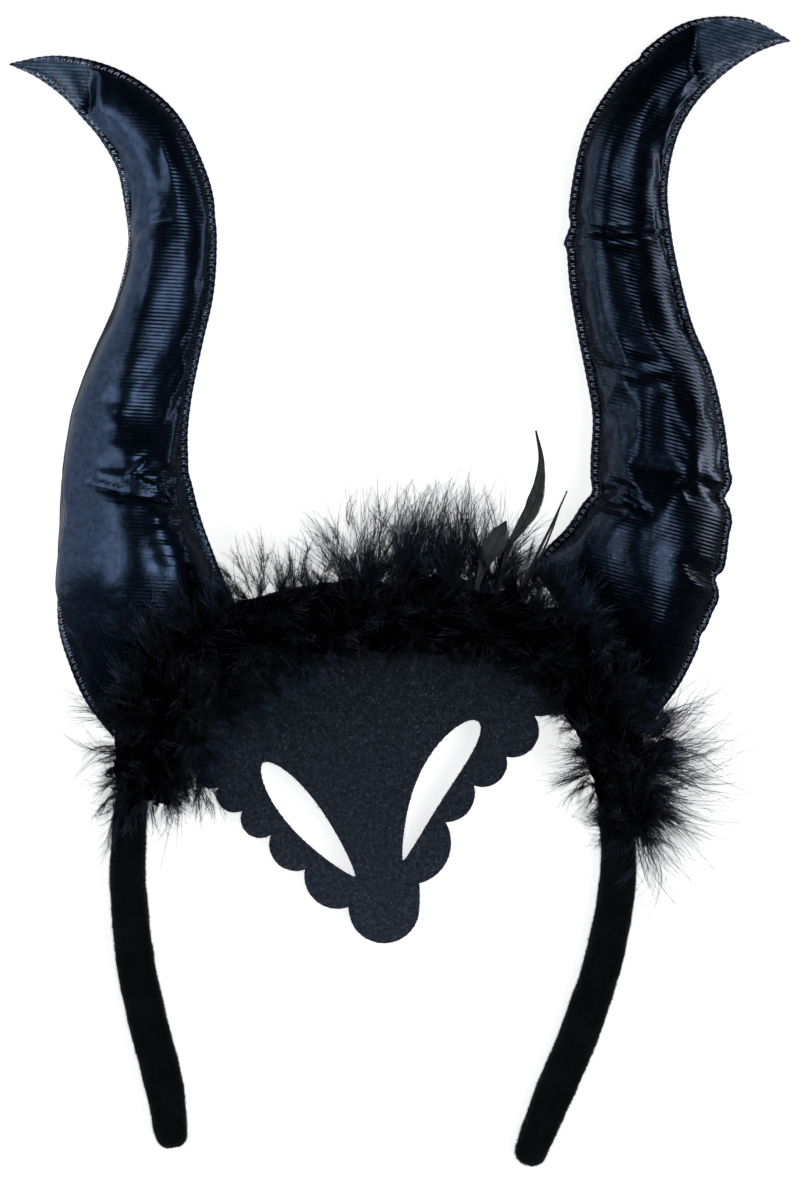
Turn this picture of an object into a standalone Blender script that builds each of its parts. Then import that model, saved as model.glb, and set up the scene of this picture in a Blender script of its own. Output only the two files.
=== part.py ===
"""Devil horns headband, lying on its back with its front facing up.

Two stuffed fabric horns stand on the shoulders of a padded velour band. A feather boa
hides where they join, two stiff blade feathers rise out of it, and a scalloped felt brow
piece with two leaf-shaped holes hangs from the band's arch.

Tables are in millimetres. Left and right are as seen from the front: +X is right, +Y is
up towards the horns' tips, +Z is the front, and the surface it lies on is z = 0.
"""

import math
import random
from collections import namedtuple

import bmesh
import bpy
from mathutils import Vector

MM = 0.001

# Driving dimensions, in millimetres
PIECE_GAP = 0.3
BAND_DEPTH = 13.0
BAND_CORNER = 0.34  # corner radius as a share of the band's thickness
BAND_TIP_LENGTH = 5.0
BROW_THICKNESS = 2.0
BROW_SAG = 4.5  # how far the felt hangs back behind the front of the band
BROW_SAG_START = 6.0  # distance from the band's centre line at which it starts to
BROW_SAG_SPAN = 48.0
SEAM_WIDTH = 2.2  # the overlocked edge that stands out all round a horn
NARROW_SEAM_SHARE = 0.2  # the most of a narrow tip's width that one edge takes
SEAM_THICKNESS = 1.2
HORN_FULLNESS = 2.4  # higher makes a horn's section boxier
HORN_EDGE_ROUND = 0.6
FOLD_LIMIT = 0.6  # the most of the padding's height that a crease presses in
BOA_CORE_RADIUS = 10.0
LOCK_FLOOR = 1.5
BLADE_THICKNESS = 0.9
BLADE_LEAST_WIDTH = 0.4
BLADE_EDGE_SHARE = 0.18  # half the blade's edge thickness as a share of its thickness
ROOM_SWELL = 1.4  # how far a cutter swells, in gaps, so that its corners clear too

# Mesh fineness
RINGS_PER_HORN_ROW = 3
RINGS_PER_BAND_ROW = 2
RINGS_PER_BLADE_ROW = 2
BAND_CORNER_STEPS = 2
BOA_RINGS = 54
BOA_SIDES = 12
ARC_STEP = 2.8
BROW_GRID = 19.0
BROW_GRID_LINES = range(-6, 4)
SHARP_DEGREES = 40.0

HORN_ACROSS = (-1.0, -0.9, -0.65, -0.33, 0.0, 0.33, 0.65, 0.9, 1.0)
BAND_END_CAP = ((0.55, 0.86), (0.86, 0.56), (0.98, 0.24))

HornRow = namedtuple("HornRow", "outer_x outer_y inner_x inner_y belly seam crown")
Fold = namedtuple("Fold", "x0 y0 x1 y1 width depth")
BandRow = namedtuple("BandRow", "x y thick")
EdgeRow = namedtuple("EdgeRow", "x y bulge")
Leaf = namedtuple("Leaf", "x0 y0 x1 y1 width bow peak")
BoaRow = namedtuple("BoaRow", "x y z size")
Reach = namedtuple("Reach", "outer front inner")
BladeRow = namedtuple("BladeRow", "x y z width")

# Each row is one line across a horn, from the base up: its two edges seen from the front,
# then the heights of its back, its seam and its front
LEFT_HORN = (
    HornRow(-80.0, -41.0, -45.5, -4.5, 1.5, 6.5, 11.5),
    HornRow(-88.0, -30.0, -48.5, 1.5, 0.0, 11.0, 25.0),
    HornRow(-93.5, -15.5, -51.5, 9.5, 0.0, 14.5, 31.0),
    HornRow(-96.0, 0.0, -55.0, 19.0, 0.0, 15.5, 33.0),
    HornRow(-95.5, 16.5, -57.5, 28.5, 0.0, 14.5, 31.0),
    HornRow(-94.0, 33.5, -59.0, 40.5, 0.0, 13.0, 27.5),
    HornRow(-90.5, 50.0, -58.0, 53.0, 0.0, 11.5, 24.5),
    HornRow(-85.0, 66.5, -55.0, 68.0, 0.0, 10.5, 22.5),
    HornRow(-79.5, 80.5, -52.0, 81.5, 0.0, 9.8, 20.5),
    HornRow(-76.0, 94.0, -51.0, 94.5, 0.0, 9.0, 19.0),
    HornRow(-76.0, 105.5, -51.5, 107.0, 0.0, 8.5, 17.5),
    HornRow(-78.5, 116.5, -54.5, 118.0, 0.0, 8.0, 16.5),
    HornRow(-83.5, 125.5, -61.5, 132.0, 0.0, 7.5, 15.5),
    HornRow(-89.0, 132.0, -72.0, 141.5, 0.0, 6.5, 12.0),
    HornRow(-94.0, 137.5, -83.5, 147.0, 2.0, 5.0, 7.5),
    HornRow(-101.5, 143.0, -96.5, 149.0, 3.2, 4.0, 4.8),
    HornRow(-109.0, 146.5, -108.5, 147.0, 2.8, 3.4, 4.0),
)
RIGHT_HORN = (
    HornRow(69.0, -38.5, 36.5, 6.5, 1.5, 6.5, 11.5),
    HornRow(78.0, -26.0, 41.0, 12.0, 0.0, 11.0, 25.0),
    HornRow(85.0, -11.0, 46.0, 17.0, 0.0, 14.5, 32.0),
    HornRow(89.5, 3.0, 50.0, 23.0, 0.0, 15.5, 33.5),
    HornRow(91.5, 16.5, 52.5, 28.0, 0.0, 15.0, 32.0),
    HornRow(91.5, 33.5, 53.0, 37.5, 0.0, 14.0, 29.5),
    HornRow(90.0, 47.0, 53.5, 48.5, 0.0, 13.0, 27.5),
    HornRow(86.5, 61.5, 51.5, 60.5, 0.0, 12.5, 26.0),
    HornRow(81.5, 73.5, 49.0, 73.0, 0.0, 12.0, 24.5),
    HornRow(78.0, 86.5, 47.0, 86.0, 0.0, 11.0, 23.0),
    HornRow(75.5, 99.5, 46.5, 99.5, 0.0, 10.3, 21.5),
    HornRow(74.5, 112.5, 48.0, 114.0, 0.0, 9.5, 20.0),
    HornRow(77.0, 125.5, 51.5, 128.0, 0.0, 9.0, 19.0),
    HornRow(82.0, 135.0, 58.5, 140.0, 0.0, 8.0, 16.5),
    HornRow(89.5, 143.0, 68.0, 150.5, 0.0, 6.5, 13.0),
    HornRow(98.0, 149.0, 80.5, 158.5, 2.0, 5.0, 7.5),
    HornRow(105.0, 152.0, 96.0, 159.5, 3.2, 4.0, 4.8),
    HornRow(109.0, 153.0, 108.5, 153.5, 2.8, 3.4, 4.0),
)

# Creases pressed into the horns' front, each a line with a width and a depth
LEFT_FOLDS = (
    Fold(-86.5, 146.0, -87.5, 133.5, 2.5, 1.6),
    Fold(-75.5, 101.5, -66.0, 103.5, 3.0, 1.4),
    Fold(-84.0, 34.0, -66.0, 27.5, 4.0, 3.0),
    Fold(-74.0, 35.5, -62.0, 29.5, 3.5, 2.2),
    Fold(-70.0, 12.0, -60.0, 14.5, 3.5, 1.6),
)
RIGHT_FOLDS = (
    Fold(84.0, 157.0, 84.5, 142.5, 2.5, 1.6),
    Fold(49.0, 99.5, 73.0, 99.5, 2.8, 1.5),
    Fold(60.5, 66.5, 67.0, 59.0, 3.0, 1.8),
    Fold(54.5, 29.5, 68.0, 22.5, 4.0, 2.6),
    Fold(57.0, 21.0, 66.0, 27.0, 3.5, 1.8),
)

# Centre line of the band from its left tip, over the arch, to its right tip
BAND = (
    BandRow(-63.8, -150.6, 8.8),
    BandRow(-65.8, -137.5, 10.4),
    BandRow(-68.6, -126.5, 10.5),
    BandRow(-71.2, -116.0, 10.5),
    BandRow(-73.8, -103.0, 10.3),
    BandRow(-75.0, -92.0, 10.0),
    BandRow(-75.8, -81.0, 9.7),
    BandRow(-75.4, -67.0, 9.2),
    BandRow(-73.8, -53.0, 8.8),
    BandRow(-70.2, -39.0, 8.6),
    BandRow(-64.0, -26.5, 8.6),
    BandRow(-54.2, -15.3, 8.6),
    BandRow(-41.5, -7.4, 8.6),
    BandRow(-25.0, -3.2, 8.6),
    BandRow(-8.3, -2.2, 8.6),
    BandRow(8.4, -3.2, 8.6),
    BandRow(25.0, -7.0, 8.6),
    BandRow(38.8, -14.2, 8.6),
    BandRow(48.6, -25.0, 8.6),
    BandRow(55.0, -39.0, 8.6),
    BandRow(59.0, -54.2, 8.8),
    BandRow(60.6, -68.3, 9.2),
    BandRow(60.8, -78.5, 9.7),
    BandRow(59.8, -87.5, 10.0),
    BandRow(58.2, -96.5, 10.2),
    BandRow(56.0, -105.5, 10.3),
    BandRow(52.8, -115.5, 10.5),
    BandRow(49.2, -125.5, 10.5),
    BandRow(43.4, -139.0, 10.4),
    BandRow(36.8, -155.2, 8.8),
)
BROW_FIRST_BAND_ROW = 10
BROW_LAST_BAND_ROW = 18

# Lower edge of the felt from the band's left shoulder round to its right one. The edge
# from each row to the next swells outwards by the bulge
BROW_EDGE = (
    EdgeRow(-66.0, -33.0, 0.6),
    EdgeRow(-61.5, -43.5, 2.2),
    EdgeRow(-56.5, -51.0, 2.1),
    EdgeRow(-50.5, -54.8, 3.3),
    EdgeRow(-43.9, -61.4, 3.8),
    EdgeRow(-36.0, -68.2, 4.2),
    EdgeRow(-26.5, -77.8, 4.6),
    EdgeRow(-14.3, -88.2, 10.0),
    EdgeRow(5.4, -88.4, 0.1),
    EdgeRow(5.4, -81.6, 4.6),
    EdgeRow(12.7, -64.6, 3.2),
    EdgeRow(20.6, -54.4, 3.6),
    EdgeRow(29.6, -46.4, 4.6),
    EdgeRow(37.4, -35.0, 0.2),
    EdgeRow(41.0, -34.8, 1.4),
    EdgeRow(46.2, -30.0, 0.3),
)
LEAVES = (
    Leaf(-38.1, -48.1, -12.5, -79.7, 9.8, -0.4, 0.39),
    Leaf(21.4, -36.4, 0.8, -75.3, 9.6, -2.6, 0.34),
)
LEAF_POINTS = 9
LEAF_BLUNTNESS = 0.72

# Centre line of the boa from the left end over the arch to the right end
BOA = (
    BoaRow(-69.5, -59.0, 20.5, 0.8),
    BoaRow(-69.5, -46.0, 22.0, 0.95),
    BoaRow(-66.5, -33.5, 24.0, 1.0),
    BoaRow(-59.0, -22.0, 25.0, 1.0),
    BoaRow(-48.5, -14.5, 25.0, 1.0),
    BoaRow(-33.5, -10.0, 25.0, 1.0),
    BoaRow(-14.0, -8.0, 25.0, 1.0),
    BoaRow(5.5, -8.0, 25.0, 1.0),
    BoaRow(25.0, -10.0, 25.0, 1.0),
    BoaRow(40.5, -16.5, 25.0, 1.0),
    BoaRow(51.5, -28.0, 24.0, 1.0),
    BoaRow(58.5, -43.5, 22.5, 0.98),
    BoaRow(62.0, -58.5, 21.0, 0.98),
    BoaRow(63.0, -68.5, 20.0, 0.8),
)
# How far the boa's locks reach away from the arch, to the front and towards the face, at
# even steps along it
BOA_REACH = (
    Reach(15.0, 7.0, 9.0),
    Reach(15.0, 7.0, 7.0),
    Reach(9.0, 7.0, 5.0),
    Reach(13.0, 8.0, 5.0),
    Reach(18.0, 8.0, 5.0),
    Reach(18.0, 8.0, 5.0),
    Reach(17.0, 8.0, 5.0),
    Reach(9.0, 7.0, 5.0),
    Reach(14.0, 7.0, 7.0),
    Reach(18.0, 7.0, 9.0),
)
LOCK_SEED = 11
LOCK_SHARE_OUTSIDE = 0.46
LOCK_SHARE_ELSEWHERE = 0.2
LOCK_OUTSIDE_ANGLE = 65.0
LOCK_FIRST_ANGLE = -62.0
LOCK_LAST_ANGLE = 206.0
LOCK_WAIST = 0.74
LOCK_TIP = 0.16
LOCK_STEPS = ((0.45, LOCK_WAIST), (0.55, LOCK_TIP / LOCK_WAIST))  # share of length, taper
LOCK_DROOP = 4.0
LOCK_SWAY = 0.6
LOCK_SHORTEST = 0.6
LOCK_LONGEST = 1.25
LOCK_END_SHARE = 0.1  # the share of the boa at each end whose locks lean outwards
LOCK_END_PULL = 9.0
BOA_UNEVENNESS = 0.07
BOA_END_SIZES = (0.35, 0.78, 0.95)

LONG_BLADE = (
    BladeRow(26.4, -3.0, 26.5, 1.0),
    BladeRow(28.2, 5.0, 27.6, 1.2),
    BladeRow(30.2, 12.0, 28.6, 1.8),
    BladeRow(33.0, 16.8, 29.4, 3.8),
    BladeRow(35.9, 21.6, 30.0, 4.9),
    BladeRow(38.2, 28.0, 30.6, 3.4),
    BladeRow(39.0, 36.0, 31.0, 1.6),
    BladeRow(37.6, 43.8, 31.2, 0.5),
)
SHORT_BLADE = (
    BladeRow(20.4, -3.0, 27.0, 1.2),
    BladeRow(22.0, 3.6, 28.2, 2.4),
    BladeRow(24.4, 9.5, 29.2, 7.4),
    BladeRow(26.8, 13.8, 29.8, 4.6),
    BladeRow(29.2, 18.8, 30.2, 0.5),
)


def smooth_value(values, position):
    """A column of numbers read at a row position between its rows, on a smooth curve."""
    row = min(int(position), len(values) - 2)
    t = position - row
    a = values[row]
    b = values[row + 1]
    before = values[row - 1] if row > 0 else 2 * a - b
    after = values[row + 2] if row + 2 < len(values) else 2 * b - a
    bend = 2 * before - 5 * a + 4 * b - after
    return a + 0.5 * t * (b - before + t * (bend + t * (3 * (a - b) + after - before)))


def smooth_rows(rows, per_row):
    """The table's rows with smoothly placed rows between them."""
    columns = list(zip(*rows))
    count = (len(rows) - 1) * per_row
    found = []
    for step in range(count + 1):
        position = step / per_row
        found.append(type(rows[0])(*(smooth_value(column, position) for column in columns)))
    return found


def new_material(name, colour, roughness):
    material = bpy.data.materials.new(name)
    material.use_nodes = True
    shader = material.node_tree.nodes["Principled BSDF"]
    shader.inputs["Base Color"].default_value = (*colour, 1.0)
    shader.inputs["Roughness"].default_value = roughness
    shader.inputs["Metallic"].default_value = 0.0
    material.diffuse_color = (*colour, 1.0)
    material.roughness = roughness
    return material


def object_from(bm, name, material):
    """Turns a finished bmesh, in millimetres, into a named object in metres."""
    bmesh.ops.scale(bm, vec=(MM, MM, MM), verts=bm.verts)
    mesh = bpy.data.meshes.new(name)
    bm.to_mesh(mesh)
    bm.free()
    mesh.shade_smooth()
    mesh.set_sharp_from_angle(angle=math.radians(SHARP_DEGREES))
    if material:
        mesh.materials.append(material)
    obj = bpy.data.objects.new(name, mesh)
    bpy.context.scene.collection.objects.link(obj)
    return obj


def loft(rings):
    """A closed skin through rings of equal point counts, with a flat cap at each end."""
    bm = bmesh.new()
    made = []
    for ring in rings:
        made.append([bm.verts.new(point) for point in ring])
    for first, second in zip(made, made[1:]):
        for side in range(len(first)):
            after = (side + 1) % len(first)
            bm.faces.new((first[side], first[after], second[after], second[side]))
    bm.faces.new(made[0])
    bm.faces.new(made[-1])
    bmesh.ops.recalc_face_normals(bm, faces=bm.faces)
    return bm


def distance_to_segment(x, y, x0, y0, x1, y1):
    along_x = x1 - x0
    along_y = y1 - y0
    length_squared = along_x * along_x + along_y * along_y
    share = ((x - x0) * along_x + (y - y0) * along_y) / length_squared
    share = min(max(share, 0.0), 1.0)
    return math.hypot(x - x0 - share * along_x, y - y0 - share * along_y)


def fold_depth(x, y, folds):
    """How deep the creases press the front of a horn at one place."""
    depth = 0.0
    for fold in folds:
        away = distance_to_segment(x, y, fold.x0, fold.y0, fold.x1, fold.y1)
        depth += fold.depth * math.exp(-((away / fold.width) ** 2))
    return depth


def horn_ring(row, folds):
    """One section of a horn: a stuffed lens between two flat overlocked seam edges."""
    width = math.hypot(row.inner_x - row.outer_x, row.inner_y - row.outer_y)
    seam_share = min(SEAM_WIDTH / width, NARROW_SEAM_SHARE)
    body = 1.0 - 2.0 * seam_share
    half_seam = 0.5 * min(SEAM_THICKNESS, row.crown - row.belly)
    front = []
    back = []
    for across in (-1.0 / body, *HORN_ACROSS, 1.0 / body):
        share = 0.5 + 0.5 * across * body
        x = row.outer_x + share * (row.inner_x - row.outer_x)
        y = row.outer_y + share * (row.inner_y - row.outer_y)
        swell = max(0.0, 1.0 - min(abs(across), 1.0) ** HORN_FULLNESS) ** HORN_EDGE_ROUND
        rise = swell * max(0.0, row.crown - row.seam - half_seam)
        drop = swell * max(0.0, row.seam - half_seam - max(row.belly, 0.0))
        rise -= min(FOLD_LIMIT * rise, fold_depth(x, y, folds))
        front.append(Vector((x, y, row.seam + half_seam + rise)))
        back.append(Vector((x, y, row.seam - half_seam - drop)))
    return front + back[::-1]


def make_horn(name, rows, folds, material):
    rings = [horn_ring(row, folds) for row in smooth_rows(rows, RINGS_PER_HORN_ROW)]
    return object_from(loft(rings), name, material)


def band_profile(thick, scale=1.0):
    """A rounded rectangle as offsets across the band and heights above its back."""
    radius = BAND_CORNER * thick
    corners = (
        (0.5 * thick - radius, BAND_DEPTH - radius, 0.0),
        (radius - 0.5 * thick, BAND_DEPTH - radius, 90.0),
        (radius - 0.5 * thick, radius, 180.0),
        (0.5 * thick - radius, radius, 270.0),
    )
    points = []
    for across, height, first_angle in corners:
        for step in range(BAND_CORNER_STEPS + 1):
            angle = math.radians(first_angle + 90.0 * step / BAND_CORNER_STEPS)
            offset = (across + radius * math.cos(angle)) * scale
            level = height + radius * math.sin(angle) - 0.5 * BAND_DEPTH
            points.append((offset, 0.5 * BAND_DEPTH + level * scale))
    return points


def directions(rows):
    """The unit direction of travel in the plane at each row."""
    found = []
    for index in range(len(rows)):
        before = rows[max(index - 1, 0)]
        after = rows[min(index + 1, len(rows) - 1)]
        found.append(Vector((after.x - before.x, after.y - before.y, 0.0)).normalized())
    return found


def band_ring(row, along, shift=0.0, scale=1.0):
    outward = Vector((-along.y, along.x, 0.0))
    centre = Vector((row.x, row.y, 0.0)) + along * shift
    return [
        centre + outward * across + Vector((0.0, 0.0, height))
        for across, height in band_profile(row.thick, scale)
    ]


def make_headband(material):
    rows = smooth_rows(BAND, RINGS_PER_BAND_ROW)
    along = directions(rows)
    rings = []
    for reach, scale in BAND_END_CAP[::-1]:
        rings.append(band_ring(rows[0], along[0], -reach * BAND_TIP_LENGTH, scale))
    for row, direction in zip(rows, along):
        rings.append(band_ring(row, direction))
    for reach, scale in BAND_END_CAP:
        rings.append(band_ring(rows[-1], along[-1], reach * BAND_TIP_LENGTH, scale))
    return object_from(loft(rings), "headband", material)


def arc_points(start, end, bulge):
    """Points from start towards end on an arc that swells to the right of the way."""
    chord = Vector((end.x - start.x, end.y - start.y))
    half = 0.5 * chord.length
    radius = (half * half + bulge * bulge) / (2.0 * bulge)
    half_angle = math.atan2(half, radius - bulge)
    outward = Vector((chord.y, -chord.x)).normalized()
    middle = Vector((start.x, start.y)) + 0.5 * chord
    centre = middle + outward * (bulge - radius)
    steps = max(2, round(2.0 * half_angle * radius / ARC_STEP))
    back = chord.normalized()
    points = []
    for step in range(steps):
        angle = half_angle * (2.0 * step / steps - 1.0)
        turned = outward * math.cos(angle) + back * math.sin(angle)
        points.append(centre + turned * radius)
    return points


def brow_outline():
    points = []
    for start, end in zip(BROW_EDGE, BROW_EDGE[1:]):
        points += arc_points(start, end, start.bulge)
    points.append(Vector((BROW_EDGE[-1].x, BROW_EDGE[-1].y)))
    top_rows = smooth_rows(BAND, RINGS_PER_BAND_ROW)
    first = BROW_FIRST_BAND_ROW * RINGS_PER_BAND_ROW
    last = BROW_LAST_BAND_ROW * RINGS_PER_BAND_ROW
    points += [Vector((row.x, row.y)) for row in top_rows[first : last + 1][::-1]]
    return points


def leaf_outline(leaf):
    """A leaf with blunt ends whose widest place is at its peak, bowed to one side."""
    start = Vector((leaf.x0, leaf.y0))
    axis = Vector((leaf.x1 - leaf.x0, leaf.y1 - leaf.y0))
    side = Vector((-axis.y, axis.x)).normalized()
    warp = math.log(0.5) / math.log(leaf.peak)
    one_side = []
    other_side = []
    for step in range(1, LEAF_POINTS):
        share = step / LEAF_POINTS
        middle = start + axis * share + side * leaf.bow * math.sin(math.pi * share)
        half = 0.5 * leaf.width * math.sin(math.pi * share**warp) ** LEAF_BLUNTNESS
        one_side.append(middle + side * half)
        other_side.append(middle - side * half)
    return [start, *one_side, start + axis, *other_side[::-1]]


def brow_back(x, y):
    """Height of the felt's back: flat on the band, and hanging back away from it."""
    away = min(
        distance_to_segment(x, y, first.x, first.y, second.x, second.y)
        for first, second in zip(BAND, BAND[1:])
    )
    share = min(max((away - BROW_SAG_START) / BROW_SAG_SPAN, 0.0), 1.0)
    return BAND_DEPTH + PIECE_GAP - BROW_SAG * share * share * (3.0 - 2.0 * share)


def make_brow(material):
    bm = bmesh.new()
    edges = []
    for outline in (brow_outline(), *(leaf_outline(leaf) for leaf in LEAVES)):
        loop = [bm.verts.new((point.x, point.y, 0.0)) for point in outline]
        for first, second in zip(loop, loop[1:] + loop[:1]):
            edges.append(bm.edges.new((first, second)))
    bmesh.ops.triangle_fill(bm, edges=edges, use_beauty=True, normal=(0.0, 0.0, 1.0))
    for axis in (Vector((1.0, 0.0, 0.0)), Vector((0.0, 1.0, 0.0))):
        for step in BROW_GRID_LINES:
            geometry = bm.verts[:] + bm.edges[:] + bm.faces[:]
            place = axis * BROW_GRID * step
            bmesh.ops.bisect_plane(bm, geom=geometry, dist=0.01, plane_co=place, plane_no=axis)
    bmesh.ops.recalc_face_normals(bm, faces=bm.faces)
    for vert in bm.verts:
        vert.co.z = brow_back(vert.co.x, vert.co.y)
    lifted = bmesh.ops.extrude_face_region(bm, geom=bm.faces[:])
    moved = [item for item in lifted["geom"] if isinstance(item, bmesh.types.BMVert)]
    bmesh.ops.translate(bm, vec=(0.0, 0.0, BROW_THICKNESS), verts=moved)
    bmesh.ops.recalc_face_normals(bm, faces=bm.faces)
    return object_from(bm, "brow_felt", material)


def make_blade(name, rows, material):
    """A stiff feather: a flat blade with a ridge along its quill."""
    fine = smooth_rows(rows, RINGS_PER_BLADE_ROW)
    along = directions(fine)
    rings = []
    for row, direction in zip(fine, along):
        side = Vector((-direction.y, direction.x, 0.0))
        centre = Vector((row.x, row.y, row.z))
        half = 0.5 * max(row.width, BLADE_LEAST_WIDTH)
        rise = Vector((0.0, 0.0, 0.5 * BLADE_THICKNESS))
        edge = Vector((0.0, 0.0, BLADE_EDGE_SHARE * BLADE_THICKNESS))
        rings.append(
            [
                centre + side * half + edge,
                centre + rise,
                centre - side * half + edge,
                centre - side * half - edge,
                centre - rise,
                centre + side * half - edge,
            ]
        )
    return object_from(loft(rings), name, material)


def boa_ring(row, direction, radius_share):
    outward = Vector((-direction.y, direction.x, 0.0))
    front = Vector((0.0, 0.0, 1.0))
    centre = Vector((row.x, row.y, row.z))
    radius = BOA_CORE_RADIUS * row.size * radius_share
    ring = []
    for side in range(BOA_SIDES):
        angle = 2.0 * math.pi * side / BOA_SIDES
        ring.append(centre + (outward * math.cos(angle) + front * math.sin(angle)) * radius)
    return ring


def lock_length(share, angle):
    """How far a lock reaches, from its place along the boa and its angle round it."""
    position = share * (len(BOA_REACH) - 1)
    reach = [smooth_value(column, position) for column in zip(*BOA_REACH)]
    outer = max(0.0, math.cos(angle)) ** 2
    inner = max(0.0, -math.cos(angle)) ** 2
    front = 1.0 - outer - inner
    return reach[0] * outer + reach[1] * front + reach[2] * inner


def grow_lock(bm, face, centre, direction, length, droop):
    """Draws one face of the boa out into a tapered lock that bends and ends in a point."""
    way = ((face.calc_center_median() - centre).normalized() + direction).normalized()
    for share, size in LOCK_STEPS:
        made = bmesh.ops.extrude_discrete_faces(bm, faces=[face])
        face = made["faces"][0]
        middle = face.calc_center_median()
        for vert in face.verts:
            vert.co = middle + (vert.co - middle) * size + way * length * share
            vert.co.z = max(vert.co.z, LOCK_FLOOR)
        way = (way + Vector((0.0, 0.0, -droop / length))).normalized()


def make_boa(material):
    """The boa's dense middle, with locks drawn out of about a third of its faces."""
    random_source = random.Random(LOCK_SEED)
    count = BOA_RINGS
    columns = list(zip(*BOA))
    rows = []
    for step in range(count):
        position = step / (count - 1) * (len(BOA) - 1)
        rows.append(BoaRow(*(smooth_value(column, position) for column in columns)))
    along = directions(rows)
    rings = []
    for index, (row, direction) in enumerate(zip(rows, along)):
        from_end = min(index, count - 1 - index)
        size = BOA_END_SIZES[from_end] if from_end < len(BOA_END_SIZES) else 1.0
        size *= random_source.uniform(1.0 - BOA_UNEVENNESS, 1.0 + BOA_UNEVENNESS)
        rings.append(boa_ring(row, direction, size))
    bm = loft(rings)
    bm.faces.ensure_lookup_table()
    quads = [face for face in bm.faces if len(face.verts) == 4]
    for number, face in enumerate(quads):
        index = number // BOA_SIDES
        angle = 360.0 * (number % BOA_SIDES + 0.5) / BOA_SIDES
        angle = angle - 360.0 if angle > 360.0 + LOCK_FIRST_ANGLE else angle
        outside = angle < LOCK_OUTSIDE_ANGLE
        wanted = LOCK_SHARE_OUTSIDE if outside else LOCK_SHARE_ELSEWHERE
        chance = random_source.random()
        if chance > wanted or angle < LOCK_FIRST_ANGLE or angle > LOCK_LAST_ANGLE:
            continue
        share = (index + 0.5) / (count - 1)
        past_end = max(0.0, share - 1.0 + LOCK_END_SHARE) - max(0.0, LOCK_END_SHARE - share)
        lean = random_source.uniform(-LOCK_SWAY, LOCK_SWAY) + LOCK_END_PULL * past_end
        length = lock_length(share, math.radians(angle))
        length *= random_source.uniform(LOCK_SHORTEST, LOCK_LONGEST)
        centre = Vector((rows[index].x, rows[index].y, rows[index].z))
        droop = LOCK_DROOP * random_source.random()
        grow_lock(bm, face, centre, along[index] * lean, length, droop)
    bmesh.ops.recalc_face_normals(bm, faces=bm.faces)
    return object_from(bm, "feather_trim", material)


def grown_copy(neighbour):
    """A hidden, slightly swollen copy of a neighbour, which cuts its room plus the gap."""
    cutter = neighbour.copy()
    cutter.name = neighbour.name + "_room"
    cutter.hide_render = True
    cutter.display_type = "WIRE"
    bpy.context.scene.collection.objects.link(cutter)
    swell = cutter.modifiers.new("Swell", "DISPLACE")
    swell.strength = ROOM_SWELL * PIECE_GAP * MM
    swell.mid_level = 0.0
    return cutter


def cut_clear(obj, neighbours):
    """Cuts the neighbours' room out of a piece, and keeps only its largest body."""
    for neighbour in neighbours:
        cut = obj.modifiers.new("Clear of " + neighbour.name, "BOOLEAN")
        cut.operation = "DIFFERENCE"
        cut.solver = "EXACT"
        cut.use_self = True
        cut.object = grown_copy(neighbour)
    bpy.context.view_layer.update()
    evaluated = obj.evaluated_get(bpy.context.evaluated_depsgraph_get())
    mesh = bpy.data.meshes.new_from_object(evaluated)
    obj.modifiers.clear()
    obj.data = mesh
    keep_largest_body(mesh)


def keep_largest_body(mesh):
    bm = bmesh.new()
    bm.from_mesh(mesh)
    unseen = set(bm.verts)
    bodies = []
    while unseen:
        body = {unseen.pop()}
        front = list(body)
        while front:
            vert = front.pop()
            for edge in vert.link_edges:
                other = edge.other_vert(vert)
                if other in unseen:
                    unseen.remove(other)
                    body.add(other)
                    front.append(other)
        bodies.append(body)
    largest = max(bodies, key=len)
    crumbs = [vert for vert in bm.verts if vert not in largest]
    bmesh.ops.delete(bm, geom=crumbs, context="VERTS")
    bm.to_mesh(mesh)
    bm.free()


def main():
    for obj in list(bpy.data.objects):
        bpy.data.objects.remove(obj, do_unlink=True)
    velour = new_material("black_velour", (0.006, 0.006, 0.009), 0.9)
    coated = new_material("navy_coated_fabric", (0.012, 0.020, 0.038), 0.35)
    felt = new_material("charcoal_felt", (0.016, 0.020, 0.028), 0.95)
    down = new_material("black_marabou_down", (0.004, 0.004, 0.006), 0.85)
    quill = new_material("black_blade_feather", (0.012, 0.014, 0.015), 0.6)
    headband = make_headband(velour)
    horns = [
        make_horn("horn_left", LEFT_HORN, LEFT_FOLDS, coated),
        make_horn("horn_right", RIGHT_HORN, RIGHT_FOLDS, coated),
    ]
    for horn in horns:
        cut_clear(horn, [headband])
    brow = make_brow(felt)
    blades = [
        make_blade("blade_feather_long", LONG_BLADE, quill),
        make_blade("blade_feather_short", SHORT_BLADE, quill),
    ]
    boa = make_boa(down)
    cut_clear(boa, [headband, *horns, brow, *blades])


main()
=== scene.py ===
"""The looks of a devil horns headband, laid out as a Blender add-on and run as a script.

Two stuffed horns of coated ribbed fabric stand on a velour band, with a marabou boa over
the joints, two blade feathers and a scalloped felt brow piece. Tables and sizes inside the
modelling functions are in millimetres; meshes are scaled to metres at the end.
"""

import math
from collections import namedtuple

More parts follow.
